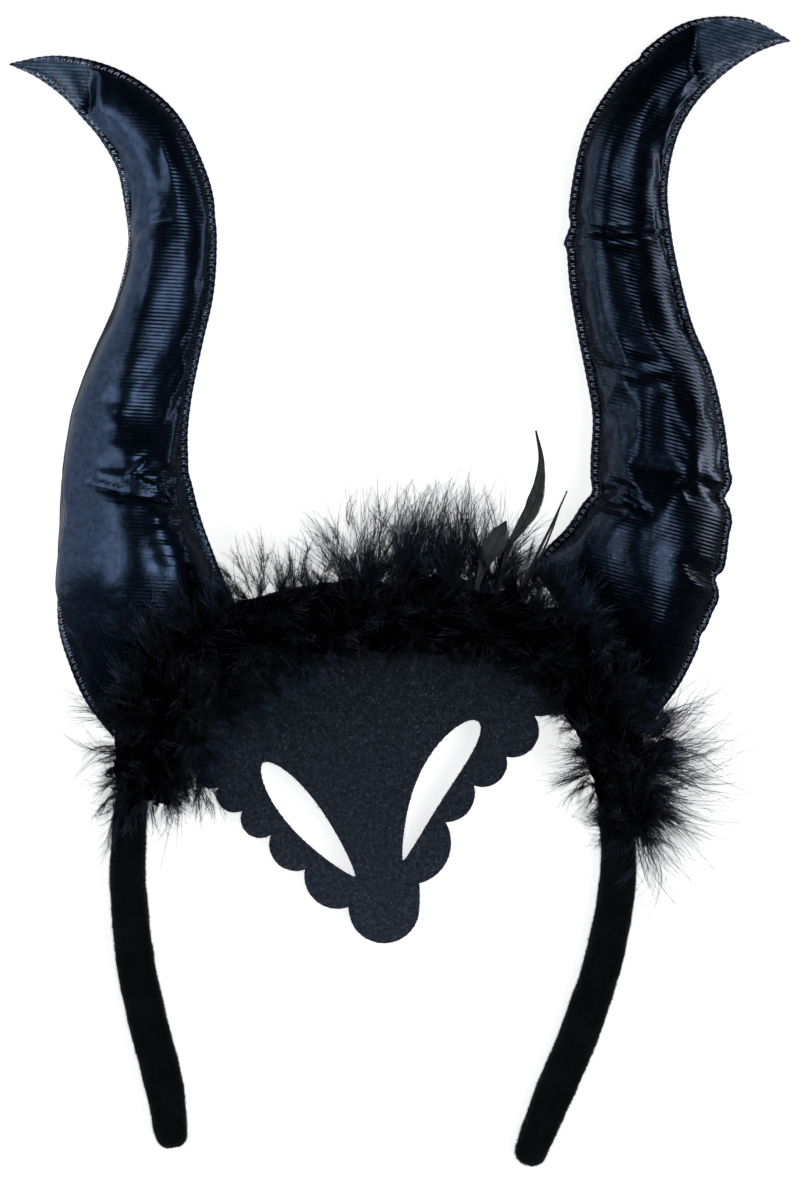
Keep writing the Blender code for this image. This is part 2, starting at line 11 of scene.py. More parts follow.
import bmesh
import bpy
import numpy as np
from bpy.props import FloatProperty, FloatVectorProperty, IntProperty, PointerProperty
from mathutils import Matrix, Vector


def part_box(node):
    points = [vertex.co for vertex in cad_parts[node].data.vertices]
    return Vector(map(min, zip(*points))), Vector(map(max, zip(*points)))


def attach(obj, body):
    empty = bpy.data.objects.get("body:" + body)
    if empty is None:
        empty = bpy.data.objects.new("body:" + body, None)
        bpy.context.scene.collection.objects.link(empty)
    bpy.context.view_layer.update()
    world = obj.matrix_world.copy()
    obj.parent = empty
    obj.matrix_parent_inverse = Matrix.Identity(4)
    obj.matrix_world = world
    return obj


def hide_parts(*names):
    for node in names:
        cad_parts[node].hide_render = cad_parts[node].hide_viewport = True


bl_info = {
    "name": "Devil Horns Headband",
    "version": (1, 0, 0),
    "blender": (4, 5, 0),
    "location": "3D View > Sidebar > Headpiece",
    "description": "Builds the fabrics, stitches and feathers of a devil horns headband",
    "category": "Object",
}

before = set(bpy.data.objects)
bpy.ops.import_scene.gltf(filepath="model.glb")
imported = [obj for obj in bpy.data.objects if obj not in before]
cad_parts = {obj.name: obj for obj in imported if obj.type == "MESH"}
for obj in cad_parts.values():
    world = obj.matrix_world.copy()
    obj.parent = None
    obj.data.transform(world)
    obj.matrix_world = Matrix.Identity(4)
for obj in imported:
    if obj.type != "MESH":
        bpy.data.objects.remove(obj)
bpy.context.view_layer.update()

MM = 0.001

# The photograph's frame and its scale at the headband
PHOTO_WIDTH = 800
PHOTO_HEIGHT = 1179
PIXELS_PER_MM = 3.6
ORIGIN_PIXEL_Y = 590.0

# Shape that the horns share, with lengths in millimetres
SEAM_WIDTH = 2.2
SEAM_THICKNESS = 1.2
NARROW_SEAM_SHARE = 0.2
SECTION_ACROSS_POWER = 2.0 / 2.4
SECTION_RISE_POWER = 1.2
SEAM_EDGE_POWER = 6
# How far out a seam edge's points lie: up its front, at its rim and down its back
SEAM_REACH = (0.34, 0.68, 0.9, 1.0, 0.9, 0.68, 0.34)
SEAM_POINTS = len(SEAM_REACH)
SEAM_RIM = SEAM_POINTS // 2
# Rows over which a horn's slant fades out, and over which its base's extra slant does
SLANT_FADE = (4.5, 7.0)
BASE_SLANT_FADE = (2.0, 4.0)
BASE_SLANT_EXTRA = 0.6
TUCKED_EDGE_TURN = 1.35
NOTCH_FADE_POWER = 4
CREASE_TAPER_POWER = 0.45
CREASE_END_DEPTH = 0.25
CREASE_LIP = 0.35
CREASE_LIP_PLACE = 2.1
PUCKER_LENGTH = 6.4
PUCKER_SWAY = 1.6
PUCKER_SWAY_LENGTH = 29.0
PUCKER_FADE_LENGTH = 43.0
PUCKER_REACH = 4.5
LUMP_SIZE = 17.0
SMALL_LUMP_SIZE = 7.0
SMALL_LUMP_SHARE = 0.35
FLAT_TIP_ROWS = (2.0, 3.2)
FLAT_TIP_RELIEF = 0.35
SETTLING_FRAMES = 20
HELD_BASE_RINGS = 2
HELD_TIP_RINGS = 8

# Sizes of the band, the felt and the feathers, in millimetres, and their angles in degrees
BAND_DEPTH = 13.0
BAND_CORNER = 0.34
BAND_TIP_LENGTH = 5.0
PIECE_GAP = 0.3
BROW_THICKNESS = 2.0
BROW_SAG = 4.5
BROW_SAG_START = 6.0
BROW_SAG_SPAN = 48.0
PILE_FLOOR = 0.3
PILE_LEAN = 0.55
PILE_SCATTER = 0.45
PILE_WIDTH = 0.11
FELT_FIBRE_WIDTH = 0.09

MASS_FRONT = 10.0
CORE_SUNK = 0.8
FIBRE_FLOOR = 0.5
FIBRE_CEILING = 52.5
COVER_ANGLES = (-45.0, 205.0)
COVER_ROOT_DEPTH = 2.5
COVER_FRONT_LENGTH = 16.0
COVER_LEAST_LENGTH = 6.0
COVER_SPRAY = 0.35
TUFT_ROOT_SPREAD = 1.6
TUFT_RISE_SPREAD = 9.0
BARB_WANDER = 0.05
QUILL_RADII = (0.34, 0.08)
VANE_PROFILE = (0.75, 0.75, 0.7, 0.6, 0.45, 0.15)

HornRow = namedtuple("HornRow", "outer_x outer_y inner_x inner_y belly seam crown")
Crease = namedtuple("Crease", "x0 y0 x1 y1 width depth")
Notch = namedtuple("Notch", "side x y width depth")
BandRow = namedtuple("BandRow", "x y thick")
EdgeRow = namedtuple("EdgeRow", "x y bulge")
Leaf = namedtuple("Leaf", "x0 y0 x1 y1 width bow peak")
BoaRow = namedtuple("BoaRow", "x y z size")
Reach = namedtuple("Reach", "outer inner mass_outer mass_inner")
Tuft = namedtuple("Tuft", "x y z heading rise spread length plumes spray")
BladeRow = namedtuple("BladeRow", "x y z width")
Horn = namedtuple("Horn", "node rows creases notches tuck skew rib_turn rib_show tip_reach seed")
Tuck = namedtuple("Tuck", "first full_from full_to last degrees")


def rows_of(kind, *rows):
    """Rows of one kind, each with that kind's named columns."""
    return tuple(kind(*row) for row in rows)


# Each row is one line across a horn, from the base up: its two edges seen from the front,
# then the heights of its back, its seam and its front
LEFT_ROWS = rows_of(
    HornRow,
    (-80.0, -41.0, -45.5, -4.5, 1.5, 6.5, 11.5),
    (-88.0, -30.0, -48.5, 1.5, 0.0, 11.0, 25.0),
    (-93.5, -15.5, -51.5, 9.5, 0.0, 14.5, 31.0),
    (-96.0, 0.0, -55.0, 19.0, 0.0, 15.5, 33.0),
    (-95.5, 16.5, -57.5, 28.5, 0.0, 14.5, 31.0),
    (-94.0, 33.5, -59.0, 40.5, 0.0, 13.0, 27.5),
    (-90.5, 50.0, -58.0, 53.0, 0.0, 11.5, 24.5),
    (-85.0, 66.5, -55.0, 68.0, 0.0, 10.5, 22.5),
    (-79.5, 80.5, -52.0, 81.5, 0.0, 9.8, 20.5),
    (-76.0, 94.0, -51.0, 94.5, 0.0, 9.0, 19.0),
    (-76.0, 105.5, -51.5, 107.0, 0.0, 8.5, 17.5),
    (-78.5, 116.5, -54.5, 118.0, 0.0, 8.0, 16.5),
    (-83.5, 125.5, -61.5, 132.0, 0.0, 7.5, 15.5),
    (-89.0, 132.0, -72.0, 141.5, 0.0, 6.5, 12.0),
    (-94.0, 137.5, -83.5, 147.0, 2.0, 5.0, 7.5),
    (-101.5, 143.0, -96.5, 149.0, 3.2, 4.0, 4.8),
    (-109.0, 146.5, -108.5, 147.0, 2.8, 3.4, 4.0),
)
RIGHT_ROWS = rows_of(
    HornRow,
    (69.0, -38.5, 36.5, 6.5, 1.5, 6.5, 11.5),
    (78.0, -26.0, 41.0, 12.0, 0.0, 11.0, 25.0),
    (85.0, -11.0, 46.0, 17.0, 0.0, 14.5, 32.0),
    (89.5, 3.0, 50.0, 23.0, 0.0, 15.5, 33.5),
    (91.5, 16.5, 52.5, 28.0, 0.0, 15.0, 32.0),
    (91.5, 33.5, 53.0, 37.5, 0.0, 14.0, 29.5),
    (90.0, 47.0, 53.5, 48.5, 0.0, 13.0, 27.5),
    (86.5, 61.5, 51.5, 60.5, 0.0, 12.5, 26.0),
    (81.5, 73.5, 49.0, 73.0, 0.0, 12.0, 24.5),
    (78.0, 86.5, 47.0, 86.0, 0.0, 11.0, 23.0),
    (75.5, 99.5, 46.5, 99.5, 0.0, 10.3, 21.5),
    (74.5, 112.5, 48.0, 114.0, 0.0, 9.5, 20.0),
    (77.0, 125.5, 51.5, 128.0, 0.0, 9.0, 19.0),
    (82.0, 135.0, 58.5, 140.0, 0.0, 8.0, 16.5),
    (89.5, 143.0, 68.0, 150.5, 0.0, 6.5, 13.0),
    (98.0, 149.0, 80.5, 158.5, 2.0, 5.0, 7.5),
    (105.0, 152.0, 96.0, 159.5, 3.2, 4.0, 4.8),
    (109.0, 153.0, 108.5, 153.5, 2.8, 3.4, 4.0),
)


def crease_run(first, last, count):
    """Like creases at even steps from the first to the last."""
    run = []
    for step in range(count):
        share = step / (count - 1)
        run.append(Crease(*(a + share * (b - a) for a, b in zip(first, last))))
    return tuple(run)


# Creases of the horns' fronts, each a line with a width and a depth. A ridge has a depth
# below zero
LEFT_CREASES = (
    Crease(-86.5, 146.0, -87.4, 132.5, 1.7, 2.0),
    Crease(-90.2, 145.4, -87.8, 137.7, 1.1, 0.9),
    Crease(-95.0, 146.4, -89.2, 137.6, 1.8, -0.7),
    Crease(-75.5, 97.3, -68.6, 101.0, 1.2, 0.3),
    Crease(-72.8, 101.3, -63.5, 103.0, 0.9, 0.8),
    Crease(-76.0, 101.5, -60.0, 103.0, 3.0, 0.25),
    Crease(-83.0, 52.5, -74.5, 52.0, 2.0, 0.35),
    Crease(-80.0, 48.8, -74.5, 47.4, 1.0, 0.25),
    Crease(-79.0, 42.0, -73.5, 40.8, 1.0, 0.3),
    Crease(-84.0, 32.0, -62.0, 27.5, 4.6, 1.2),
    Crease(-87.0, 29.8, -76.5, 27.0, 1.5, 1.5),
    Crease(-79.5, 27.8, -61.0, 24.2, 1.5, 1.4),
    Crease(-81.0, 34.8, -71.5, 34.2, 1.1, 0.6),
    Crease(-75.2, 31.8, -69.4, 36.2, 0.7, -0.9),
    Crease(-75.2, 31.8, -66.6, 28.4, 0.7, -1.0),
    Crease(-67.6, 28.9, -62.4, 24.4, 0.7, -0.9),
    Crease(-74.4, 31.9, -58.8, 31.0, 0.7, -0.5),
    Crease(-70.0, 34.3, -61.5, 32.8, 0.9, 0.5),
    Crease(-60.6, 36.0, -58.0, 26.2, 1.1, 0.5),
    Crease(-72.8, 22.5, -65.0, 2.0, 3.0, 0.7),
    *crease_run(
        Crease(-70.5, 22.3, -57.5, 22.0, 1.3, 0.5),
        Crease(-68.5, 6.8, -54.5, 5.0, 1.3, 0.35),
        5,
    ),
)
RIGHT_CREASES = rows_of(
    Crease,
    (84.6, 159.0, 83.0, 143.0, 1.5, 1.7),
    (79.6, 156.5, 81.6, 144.5, 2.0, 0.8),
    (50.5, 99.9, 60.0, 99.2, 1.0, 1.0),
    (57.0, 99.4, 74.0, 99.7, 1.0, 1.5),
    (49.0, 99.5, 74.0, 99.5, 3.0, 0.6),
    (72.2, 120.6, 73.2, 114.5, 1.0, 0.6),
    (59.6, 72.2, 63.4, 62.0, 1.2, -0.45),
    (63.6, 68.2, 71.6, 63.6, 1.6, 0.8),
    (56.0, 61.6, 65.0, 59.2, 1.5, 0.6),
    (63.5, 59.4, 76.5, 62.0, 1.5, 0.5),
    (70.0, 57.5, 69.8, 36.5, 1.6, 0.35),
    (53.0, 26.9, 61.5, 28.2, 1.1, 1.1),
    (59.5, 28.0, 68.5, 21.6, 1.1, 1.3),
    (57.8, 29.2, 67.4, 23.4, 0.8, -0.8),
    (57.4, 30.8, 66.0, 26.8, 0.9, 1.0),
    (57.0, 25.2, 65.4, 23.6, 0.8, 0.7),
    (54.0, 28.0, 70.0, 22.5, 4.0, 0.7),
    (70.5, 19.0, 78.0, 27.6, 2.6, -0.7),
    (83.0, 30.0, 91.0, 25.0, 1.4, 0.9),
    (80.0, 6.0, 90.0, 1.5, 1.6, 1.2),
)
# Places where the stitched edge pinches in, or with a depth below zero bulges out
LEFT_NOTCHES = rows_of(
    Notch,
    ("inner", -58.0, 33.0, 3.0, 0.5),
    ("inner", -51.5, 104.0, 3.0, 0.3),
)
RIGHT_NOTCHES = rows_of(
    Notch,
    ("inner", 65.6, 148.2, 1.8, 0.9),
    ("inner", 46.9, 101.8, 1.8, 0.8),
    ("inner", 46.4, 96.6, 1.6, -0.9),
    ("inner", 53.2, 27.5, 2.5, 1.0),
    ("outer", 91.4, 31.0, 2.0, -0.8),
    ("outer", 91.6, 25.2, 1.8, 1.6),
    ("outer", 91.8, 19.0, 2.6, -0.7),
    ("outer", 89.6, 2.4, 2.0, 2.0),
    ("outer", 88.4, -3.0, 2.4, -0.6),
    ("outer", 83.6, -13.0, 1.8, 0.9),
)

# Centre line of the band from its left tip, over the arch, to its right tip
BAND = rows_of(
    BandRow,
    (-63.8, -150.6, 8.8),
    (-65.8, -137.5, 10.4),
    (-68.6, -126.5, 10.5),
    (-71.2, -116.0, 10.5),
    (-73.8, -103.0, 10.3),
    (-75.0, -92.0, 10.0),
    (-75.8, -81.0, 9.7),
    (-75.4, -67.0, 9.2),
    (-73.8, -53.0, 8.8),
    (-70.2, -39.0, 8.6),
    (-64.0, -26.5, 8.6),
    (-54.2, -15.3, 8.6),
    (-41.5, -7.4, 8.6),
    (-25.0, -3.2, 8.6),
    (-8.3, -2.2, 8.6),
    (8.4, -3.2, 8.6),
    (25.0, -7.0, 8.6),
    (38.8, -14.2, 8.6),
    (48.6, -25.0, 8.6),
    (55.0, -39.0, 8.6),
    (59.0, -54.2, 8.8),
    (60.6, -68.3, 9.2),
    (60.8, -78.5, 9.7),
    (59.8, -87.5, 10.0),
    (58.2, -96.5, 10.2),
    (56.0, -105.5, 10.3),
    (52.8, -115.5, 10.5),
    (49.2, -125.5, 10.5),
    (43.4, -139.0, 10.4),
    (36.8, -155.2, 8.8),
)
BROW_FIRST_BAND_ROW = 10
BROW_LAST_BAND_ROW = 18

# Lower edge of the felt from the band's left shoulder round to its right one. The edge
# from each row to the next swells outwards by the bulge
BROW_EDGE = rows_of(
    EdgeRow,
    (-66.0, -33.0, 0.6),
    (-61.5, -43.5, 2.2),
    (-56.5, -51.0, 2.1),
    (-50.5, -54.8, 3.3),
    (-43.9, -61.4, 3.8),
    (-36.0, -68.2, 4.2),
    (-26.5, -77.8, 4.6),
    (-14.3, -88.2, 10.0),
    (5.4, -88.4, 0.1),
    (5.4, -81.6, 4.6),
    (12.7, -64.6, 3.2),
    (20.6, -54.4, 3.6),
    (29.6, -46.4, 4.6),
    (37.4, -35.0, 0.2),
    (41.0, -34.8, 1.4),
    (46.2, -30.0, 0.3),
)
LEAVES = rows_of(
    Leaf,
    (-38.1, -48.1, -12.5, -79.7, 9.8, -0.4, 0.39),
    (21.4, -36.4, 0.8, -75.3, 9.6, -2.6, 0.34),
)
LEAF_POINTS = 28
LEAF_BLUNTNESS = 0.72

# Centre line of the boa from the left end over the arch to the right end
BOA = rows_of(
    BoaRow,
    (-69.5, -59.0, 20.5, 0.8),
    (-69.5, -46.0, 22.0, 0.95),
    (-66.5, -33.5, 24.0, 1.0),
    (-59.0, -22.0, 25.0, 1.0),
    (-48.5, -14.5, 25.0, 1.0),
    (-33.5, -10.0, 25.0, 1.0),
    (-14.0, -8.0, 25.0, 1.0),
    (5.5, -8.0, 25.0, 1.0),
    (25.0, -10.0, 25.0, 1.0),
    (40.5, -16.5, 25.0, 1.0),
    (51.5, -28.0, 24.0, 1.0),
    (58.5, -43.5, 22.5, 0.98),
    (62.0, -58.5, 21.0, 0.98),
    (63.0, -68.5, 20.0, 0.8),
)
# How far the plumes and the dense mass reach from the boa's middle line, away from the arch
# and towards the face, at even steps along it
PLUME_REACH = rows_of(
    Reach,
    (14.0, 14.0, 9.5, 10.5),
    (18.0, 19.0, 12.5, 13.5),
    (20.0, 27.0, 12.5, 16.0),
    (18.0, 24.0, 11.0, 14.5),
    (19.0, 17.0, 11.5, 11.0),
    (25.0, 16.0, 15.0, 10.0),
    (25.0, 16.0, 17.0, 10.0),
    (20.0, 15.0, 14.0, 9.5),
    (15.0, 12.0, 9.5, 8.0),
    (11.0, 9.0, 6.5, 6.5),
)

# Tufts that stand clear of the boa or fill it out. Heading turns from +X towards +Y and
# rise lifts off the XY plane, both in degrees. Spray is the share of its length along
# which a plume carries barbs: low for a brush, high for a small feather
TUFTS = rows_of(
    Tuft,
    (-45.0, -4.0, 24.0, 112.0, 6.0, 8.0, 13.0, 5, 0.6),
    (-39.0, -3.0, 25.0, 95.0, 4.0, 10.0, 17.0, 6, 0.6),
    (-33.0, -4.0, 24.0, 78.0, 8.0, 10.0, 12.0, 4, 0.6),
    (-27.0, -4.0, 25.0, 92.0, 6.0, 9.0, 18.0, 6, 0.6),
    (-21.0, -4.0, 24.0, 62.0, 8.0, 12.0, 18.0, 7, 0.6),
    (-13.0, -1.0, 25.0, 104.0, 8.0, 14.0, 24.0, 10, 0.6),
    (-8.0, -1.0, 25.0, 84.0, 10.0, 14.0, 30.0, 14, 0.6),
    (-1.0, -1.0, 25.0, 70.0, 6.0, 14.0, 28.0, 13, 0.6),
    (6.0, -1.0, 25.0, 92.0, 6.0, 14.0, 31.0, 14, 0.6),
    (13.0, -1.0, 25.0, 74.0, 8.0, 14.0, 30.0, 13, 0.6),
    (20.0, -1.0, 24.0, 92.0, 6.0, 14.0, 30.0, 13, 0.6),
    (27.0, -1.0, 24.0, 76.0, 6.0, 16.0, 25.0, 11, 0.6),
    (34.0, -4.0, 24.0, 70.0, 8.0, 18.0, 18.0, 10, 0.6),
    (40.0, -6.0, 25.0, 50.0, 10.0, 20.0, 18.0, 10, 0.6),
    (45.0, -10.0, 26.0, 45.0, 12.0, 20.0, 15.0, 8, 0.6),
    (-10.0, 0.0, 24.0, 90.0, 0.0, 32.0, 16.0, 22, 0.5),
    (2.0, 2.0, 24.0, 90.0, 0.0, 32.0, 17.0, 24, 0.5),
    (14.0, 2.0, 24.0, 90.0, 0.0, 32.0, 17.0, 24, 0.5),
    (26.0, 1.0, 24.0, 85.0, 0.0, 32.0, 16.0, 22, 0.5),
    (8.0, -3.0, 24.0, 90.0, 0.0, 40.0, 12.0, 16, 0.5),
    (20.0, -3.0, 24.0, 90.0, 0.0, 40.0, 12.0, 16, 0.5),
    (30.0, -5.0, 24.0, 86.0, 0.0, 40.0, 12.0, 16, 0.5),
    (64.0, -37.0, 22.0, 25.0, 0.0, 34.0, 12.0, 18, 0.5),
    (67.0, -41.0, 21.0, 15.0, 0.0, 30.0, 12.0, 16, 0.5),
    (35.0, -8.0, 24.0, 78.0, 0.0, 36.0, 13.0, 22, 0.5),
    (42.0, -13.0, 24.0, 56.0, 0.0, 36.0, 13.0, 22, 0.5),
    (-50.0, -7.0, 32.0, 105.0, 14.0, 22.0, 13.0, 7, 0.5),
    (-58.0, -11.0, 32.0, 118.0, 14.0, 22.0, 16.0, 9, 0.5),
    (-66.0, -17.0, 31.0, 128.0, 12.0, 22.0, 17.0, 9, 0.5),
    (-72.0, -27.0, 28.0, 142.0, 8.0, 20.0, 13.0, 7, 0.5),
    (45.0, -9.0, 32.0, 60.0, 14.0, 22.0, 14.0, 8, 0.5),
    (52.0, -17.0, 31.0, 45.0, 12.0, 22.0, 13.0, 7, 0.5),
    (58.0, -29.0, 29.0, 30.0, 10.0, 22.0, 12.0, 7, 0.5),
    (62.0, -39.0, 26.0, 20.0, 8.0, 18.0, 11.0, 6, 0.5),
    (-54.0, -26.0, 23.0, 318.0, -6.0, 20.0, 24.0, 12, 0.5),
    (-46.0, -20.0, 23.0, 308.0, -6.0, 20.0, 22.0, 12, 0.5),
    (-37.0, -17.0, 23.0, 295.0, -6.0, 20.0, 17.0, 9, 0.5),
    (-26.0, -15.0, 23.0, 280.0, -6.0, 20.0, 13.0, 7, 0.5),
    (-60.0, -36.0, 22.0, 322.0, -6.0, 18.0, 20.0, 11, 0.5),
    (-62.0, -43.0, 20.0, 285.0, -2.0, 22.0, 15.0, 12, 0.5),
    (-57.0, -41.0, 20.0, 303.0, -2.0, 20.0, 14.0, 10, 0.5),
    (-74.0, -37.0, 23.0, 158.0, 4.0, 9.0, 20.0, 4, 0.3),
    (-76.0, -43.0, 20.0, 178.0, 2.0, 6.0, 19.0, 3, 0.2),
    (-74.0, -50.0, 17.0, 236.0, 0.0, 16.0, 12.0, 9, 0.5),
    (-76.0, -56.0, 15.0, 250.0, -4.0, 12.0, 13.0, 8, 0.5),
    (-78.0, -60.0, 13.0, 257.0, -4.0, 8.0, 18.0, 3, 0.3),
    (-66.0, -50.0, 18.0, 272.0, -2.0, 18.0, 14.0, 12, 0.5),
    (-61.0, -48.0, 18.0, 276.0, -2.0, 18.0, 15.0, 12, 0.5),
    (-56.0, -48.0, 20.0, 288.0, -2.0, 14.0, 16.0, 8, 0.6),
    (-60.0, -52.0, 19.0, 270.0, -2.0, 10.0, 24.0, 2, 0.2),
    (66.0, -42.0, 22.0, 34.0, 8.0, 9.0, 28.0, 5, 0.2),
    (67.0, -45.0, 21.0, 12.0, 5.0, 9.0, 29.0, 6, 0.2),
    (67.0, -48.0, 20.0, -6.0, 2.0, 9.0, 30.0, 7, 0.2),
    (67.0, -52.0, 19.0, -20.0, 0.0, 9.0, 29.0, 7, 0.2),
    (66.0, -56.0, 18.0, -38.0, -3.0, 9.0, 30.0, 7, 0.2),
    (66.5, -60.0, 17.0, -56.0, -5.0, 9.0, 29.0, 7, 0.2),
    (67.0, -64.0, 15.0, -76.0, -6.0, 7.0, 27.0, 5, 0.2),
    (66.0, -46.0, 21.0, 5.0, 3.0, 24.0, 14.0, 16, 0.5),
    (66.0, -53.0, 20.0, -20.0, 0.0, 24.0, 14.0, 16, 0.5),
    (66.0, -60.0, 17.0, -52.0, -3.0, 22.0, 13.0, 14, 0.5),
    (55.0, -45.0, 21.0, 172.0, 0.0, 10.0, 14.0, 3, 0.3),
    (55.0, -48.0, 20.0, 190.0, 0.0, 12.0, 16.0, 5, 0.4),
    (55.5, -51.0, 20.0, 222.0, -2.0, 12.0, 13.0, 3, 0.3),
    (57.0, -54.0, 19.0, 250.0, -2.0, 8.0, 11.0, 3, 0.3),
)

LONG_BLADE = rows_of(
    BladeRow,
    (26.4, -3.0, 26.5, 1.0),
    (28.2, 5.0, 27.6, 1.2),
    (30.2, 12.0, 28.6, 1.8),
    (33.0, 16.8, 29.4, 3.8),
    (35.9, 21.6, 30.0, 4.9),
    (38.2, 28.0, 30.6, 3.4),
    (39.0, 36.0, 31.0, 1.6),
    (37.6, 43.8, 31.2, 0.5),
)
SHORT_BLADE = rows_of(
    BladeRow,
    (20.4, -3.0, 27.0, 1.2),
    (22.0, 3.6, 28.2, 2.4),
    (24.4, 9.5, 29.2, 7.4),
    (26.8, 13.8, 29.8, 4.6),
    (29.2, 18.8, 30.2, 0.5),
)
SPIKES = (
    (
        BladeRow(34.0, 1.0, 28.0, 0.7),
        BladeRow(38.0, 10.0, 29.0, 0.9),
        BladeRow(42.2, 18.5, 29.6, 0.7),
        BladeRow(46.1, 27.2, 30.0, 0.3),
    ),
    (
        BladeRow(35.0, 2.0, 27.0, 0.5),
        BladeRow(39.0, 9.5, 28.0, 0.6),
        BladeRow(42.0, 16.5, 28.6, 0.5),
        BladeRow(44.6, 24.0, 29.0, 0.3),
    ),
)

LEFT_HORN = Horn(
    "horn_left",
    LEFT_ROWS,
    LEFT_CREASES,
    LEFT_NOTCHES,
    tuck=Tuck(1.6, 3.4, 9.2, 11.2, 34.0),
    skew=0.34,
    rib_turn=-3.0,
    rib_show=0.0,
    tip_reach=23.0,
    seed=5,
)
RIGHT_HORN = Horn(
    "horn_right",
    RIGHT_ROWS,
    RIGHT_CREASES,
    RIGHT_NOTCHES,
    tuck=Tuck(0.0, 0.0, 0.0, 0.0, 0.0),
    skew=0.0,
    rib_turn=-15.0,
    rib_show=0.5,
    tip_reach=26.5,
    seed=8,
)


# Shared helpers


def linear(hex_colour):
    """An sRGB hex colour as linear red, green, blue and alpha."""
    channels = []
    for start in (1, 3, 5):
        value = int(hex_colour[start : start + 2], 16) / 255.0
        channels.append(value / 12.92 if value <= 0.04045 else ((value + 0.055) / 1.055) ** 2.4)
    return (*channels, 1.0)


def wave_scale(period_mm):
    """The Wave texture's scale for bands this many millimetres apart."""
    return math.pi / 10.0 / (period_mm * MM)


def per_metre(size_mm):
    """Noise scale that makes lumps about this many millimetres large."""
    return 1.0 / (size_mm * MM)


def new_material(name):
    """A material with its node tree, its main shader and its Object coordinates."""
    material = bpy.data.materials.new(name)
    material.use_nodes = True
    tree = material.node_tree
    shader = tree.nodes["Principled BSDF"]
    return material, tree, shader, add(tree, "TexCoord", out="Object")


def join(made, sockets):
    """Sets a node's sockets, or links them where the value is another node's output."""
    for key, value in sockets.items():
        if isinstance(value, bpy.types.NodeSocket):
            made.id_data.links.new(value, made.inputs[key])
        else:
            made.inputs[key].default_value = value


def add(tree, kind, sockets=None, out=0, stops=(), **properties):
    """Adds a node with its sockets, properties and colour stops, and gives one output.

    A Map Range's sockets are the value, the range it is read from and the range it is
    stretched to. A colour Mix's are 0, 6 and 7: the factor and the two colours.
    """
    made = tree.nodes.new("ShaderNode" + kind)
    for name, value in properties.items():
        setattr(made, name, value)
    if stops:
        elements = made.color_ramp.elements
        elements[0].position, elements[0].color = stops[0]
        elements[1].position, elements[1].color = stops[-1]
        for position, colour in stops[1:-1]:
            elements.new(position).color = colour
    join(made, sockets or {})
    return made.outputs[out]


def travelled(line):
    """Distance along a line to each of its points."""
    steps = np.linalg.norm(np.diff(line, axis=0), axis=1)
    return np.concatenate([[0.0], np.cumsum(steps)])


def read_at(wanted, distance, array):
    """An array's columns at wanted distances along the line that its rows lie on."""
    columns = [np.interp(wanted, distance, column) for column in array.T]
    return np.stack(columns, axis=-1)


def smooth_table(rows, positions):
    """A table's rows read at positions between its rows, on smooth curves."""
    table = np.array(rows, float)
    positions = np.asarray(positions, float)
    first = 2.0 * table[0] - table[1]
    last = 2.0 * table[-1] - table[-2]
    longer = np.vstack([first, table, last])
    row = np.clip(positions.astype(int), 0, len(table) - 2)
    t = (positions - row)[:, None]
    before, a, b, after = (longer[row + step] for step in range(4))
    bend = 2 * before - 5 * a + 4 * b - after
    return a + 0.5 * t * (b - before + t * (bend + t * (3 * (a - b) + after - before)))


def even_positions(rows, columns, count):
    """Row positions that lie at equal steps along the curve that some columns draw."""
    fine = np.linspace(0.0, len(rows) - 1.0, 60 * len(rows))
    line = columns(smooth_table(rows, fine))
    distance = travelled(line)
    return np.interp(np.linspace(0.0, distance[-1], count), distance, fine)


def smooth_step(low, high, value):
    share = np.clip((value - low) / (high - low), 0.0, 1.0)
    return share * share * (3.0 - 2.0 * share)


def unit(vectors):
    return vectors / np.maximum(np.linalg.norm(vectors, axis=-1, keepdims=True), 1e-9)


def segment_distance(points, x0, y0, x1, y1):
    """Distance in the XY plane from a line piece, and the share along it of the nearest place."""
    start = np.array([x0, y0])
    along = np.array([x1 - x0, y1 - y0])
    share = np.clip((points[..., :2] - start) @ along / (along @ along), 0.0, 1.0)
    away = np.linalg.norm(points[..., :2] - start - share[..., None] * along, axis=-1)
    return away, share


def swell_noise(points, size, seed, layers=7):
    """Smooth bumps about size millimetres wide, from -1 to 1, built up from plane waves."""
    source = np.random.default_rng(seed)
    total = np.zeros(points.shape[:-1])
    for _ in range(layers):
        direction = unit(source.normal(size=3))
        length = size * source.uniform(0.75, 1.5)
        total += np.sin(points @ direction * (2 * math.pi / length) + source.uniform(0, 6.3))
    return total / layers * 1.6


def rolled_grid(points):
    """A closed skin: a grid whose columns run round it and whose rows run along it."""
    rings, sides, _ = points.shape
    bm = bmesh.new()
    ring_layer = bm.verts.layers.int.new("ring")
    side_layer = bm.verts.layers.int.new("side")
    bmesh.ops.create_grid(bm, x_segments=sides, y_segments=rings - 1, size=0.5)
    for vert in bm.verts:
        side = round((vert.co.x + 0.5) * sides) % sides
        ring = round((vert.co.y + 0.5) * (rings - 1))
        vert[ring_layer] = ring
        vert[side_layer] = side
        vert.co = Vector(points[ring, side])
    seam = [vert for vert in bm.verts if vert.is_boundary]
    bmesh.ops.remove_doubles(bm, verts=seam, dist=1e-4)
    open_edges = [edge for edge in bm.edges if edge.is_boundary]
    bmesh.ops.holes_fill(bm, edges=open_edges, sides=0)
    bmesh.ops.recalc_face_normals(bm, faces=bm.faces)
    return bm


def object_from(bm, name, material, sharp_degrees=60.0):
    """Turns a finished bmesh, in millimetres, into a named object in metres."""
    bmesh.ops.scale(bm, vec=(MM, MM, MM), verts=bm.verts)
    mesh = bpy.data.meshes.new(name)
    bm.to_mesh(mesh)
    bm.free()
    mesh.shade_smooth()
    mesh.set_sharp_from_angle(angle=math.radians(sharp_degrees))
    return link(name, mesh, material)


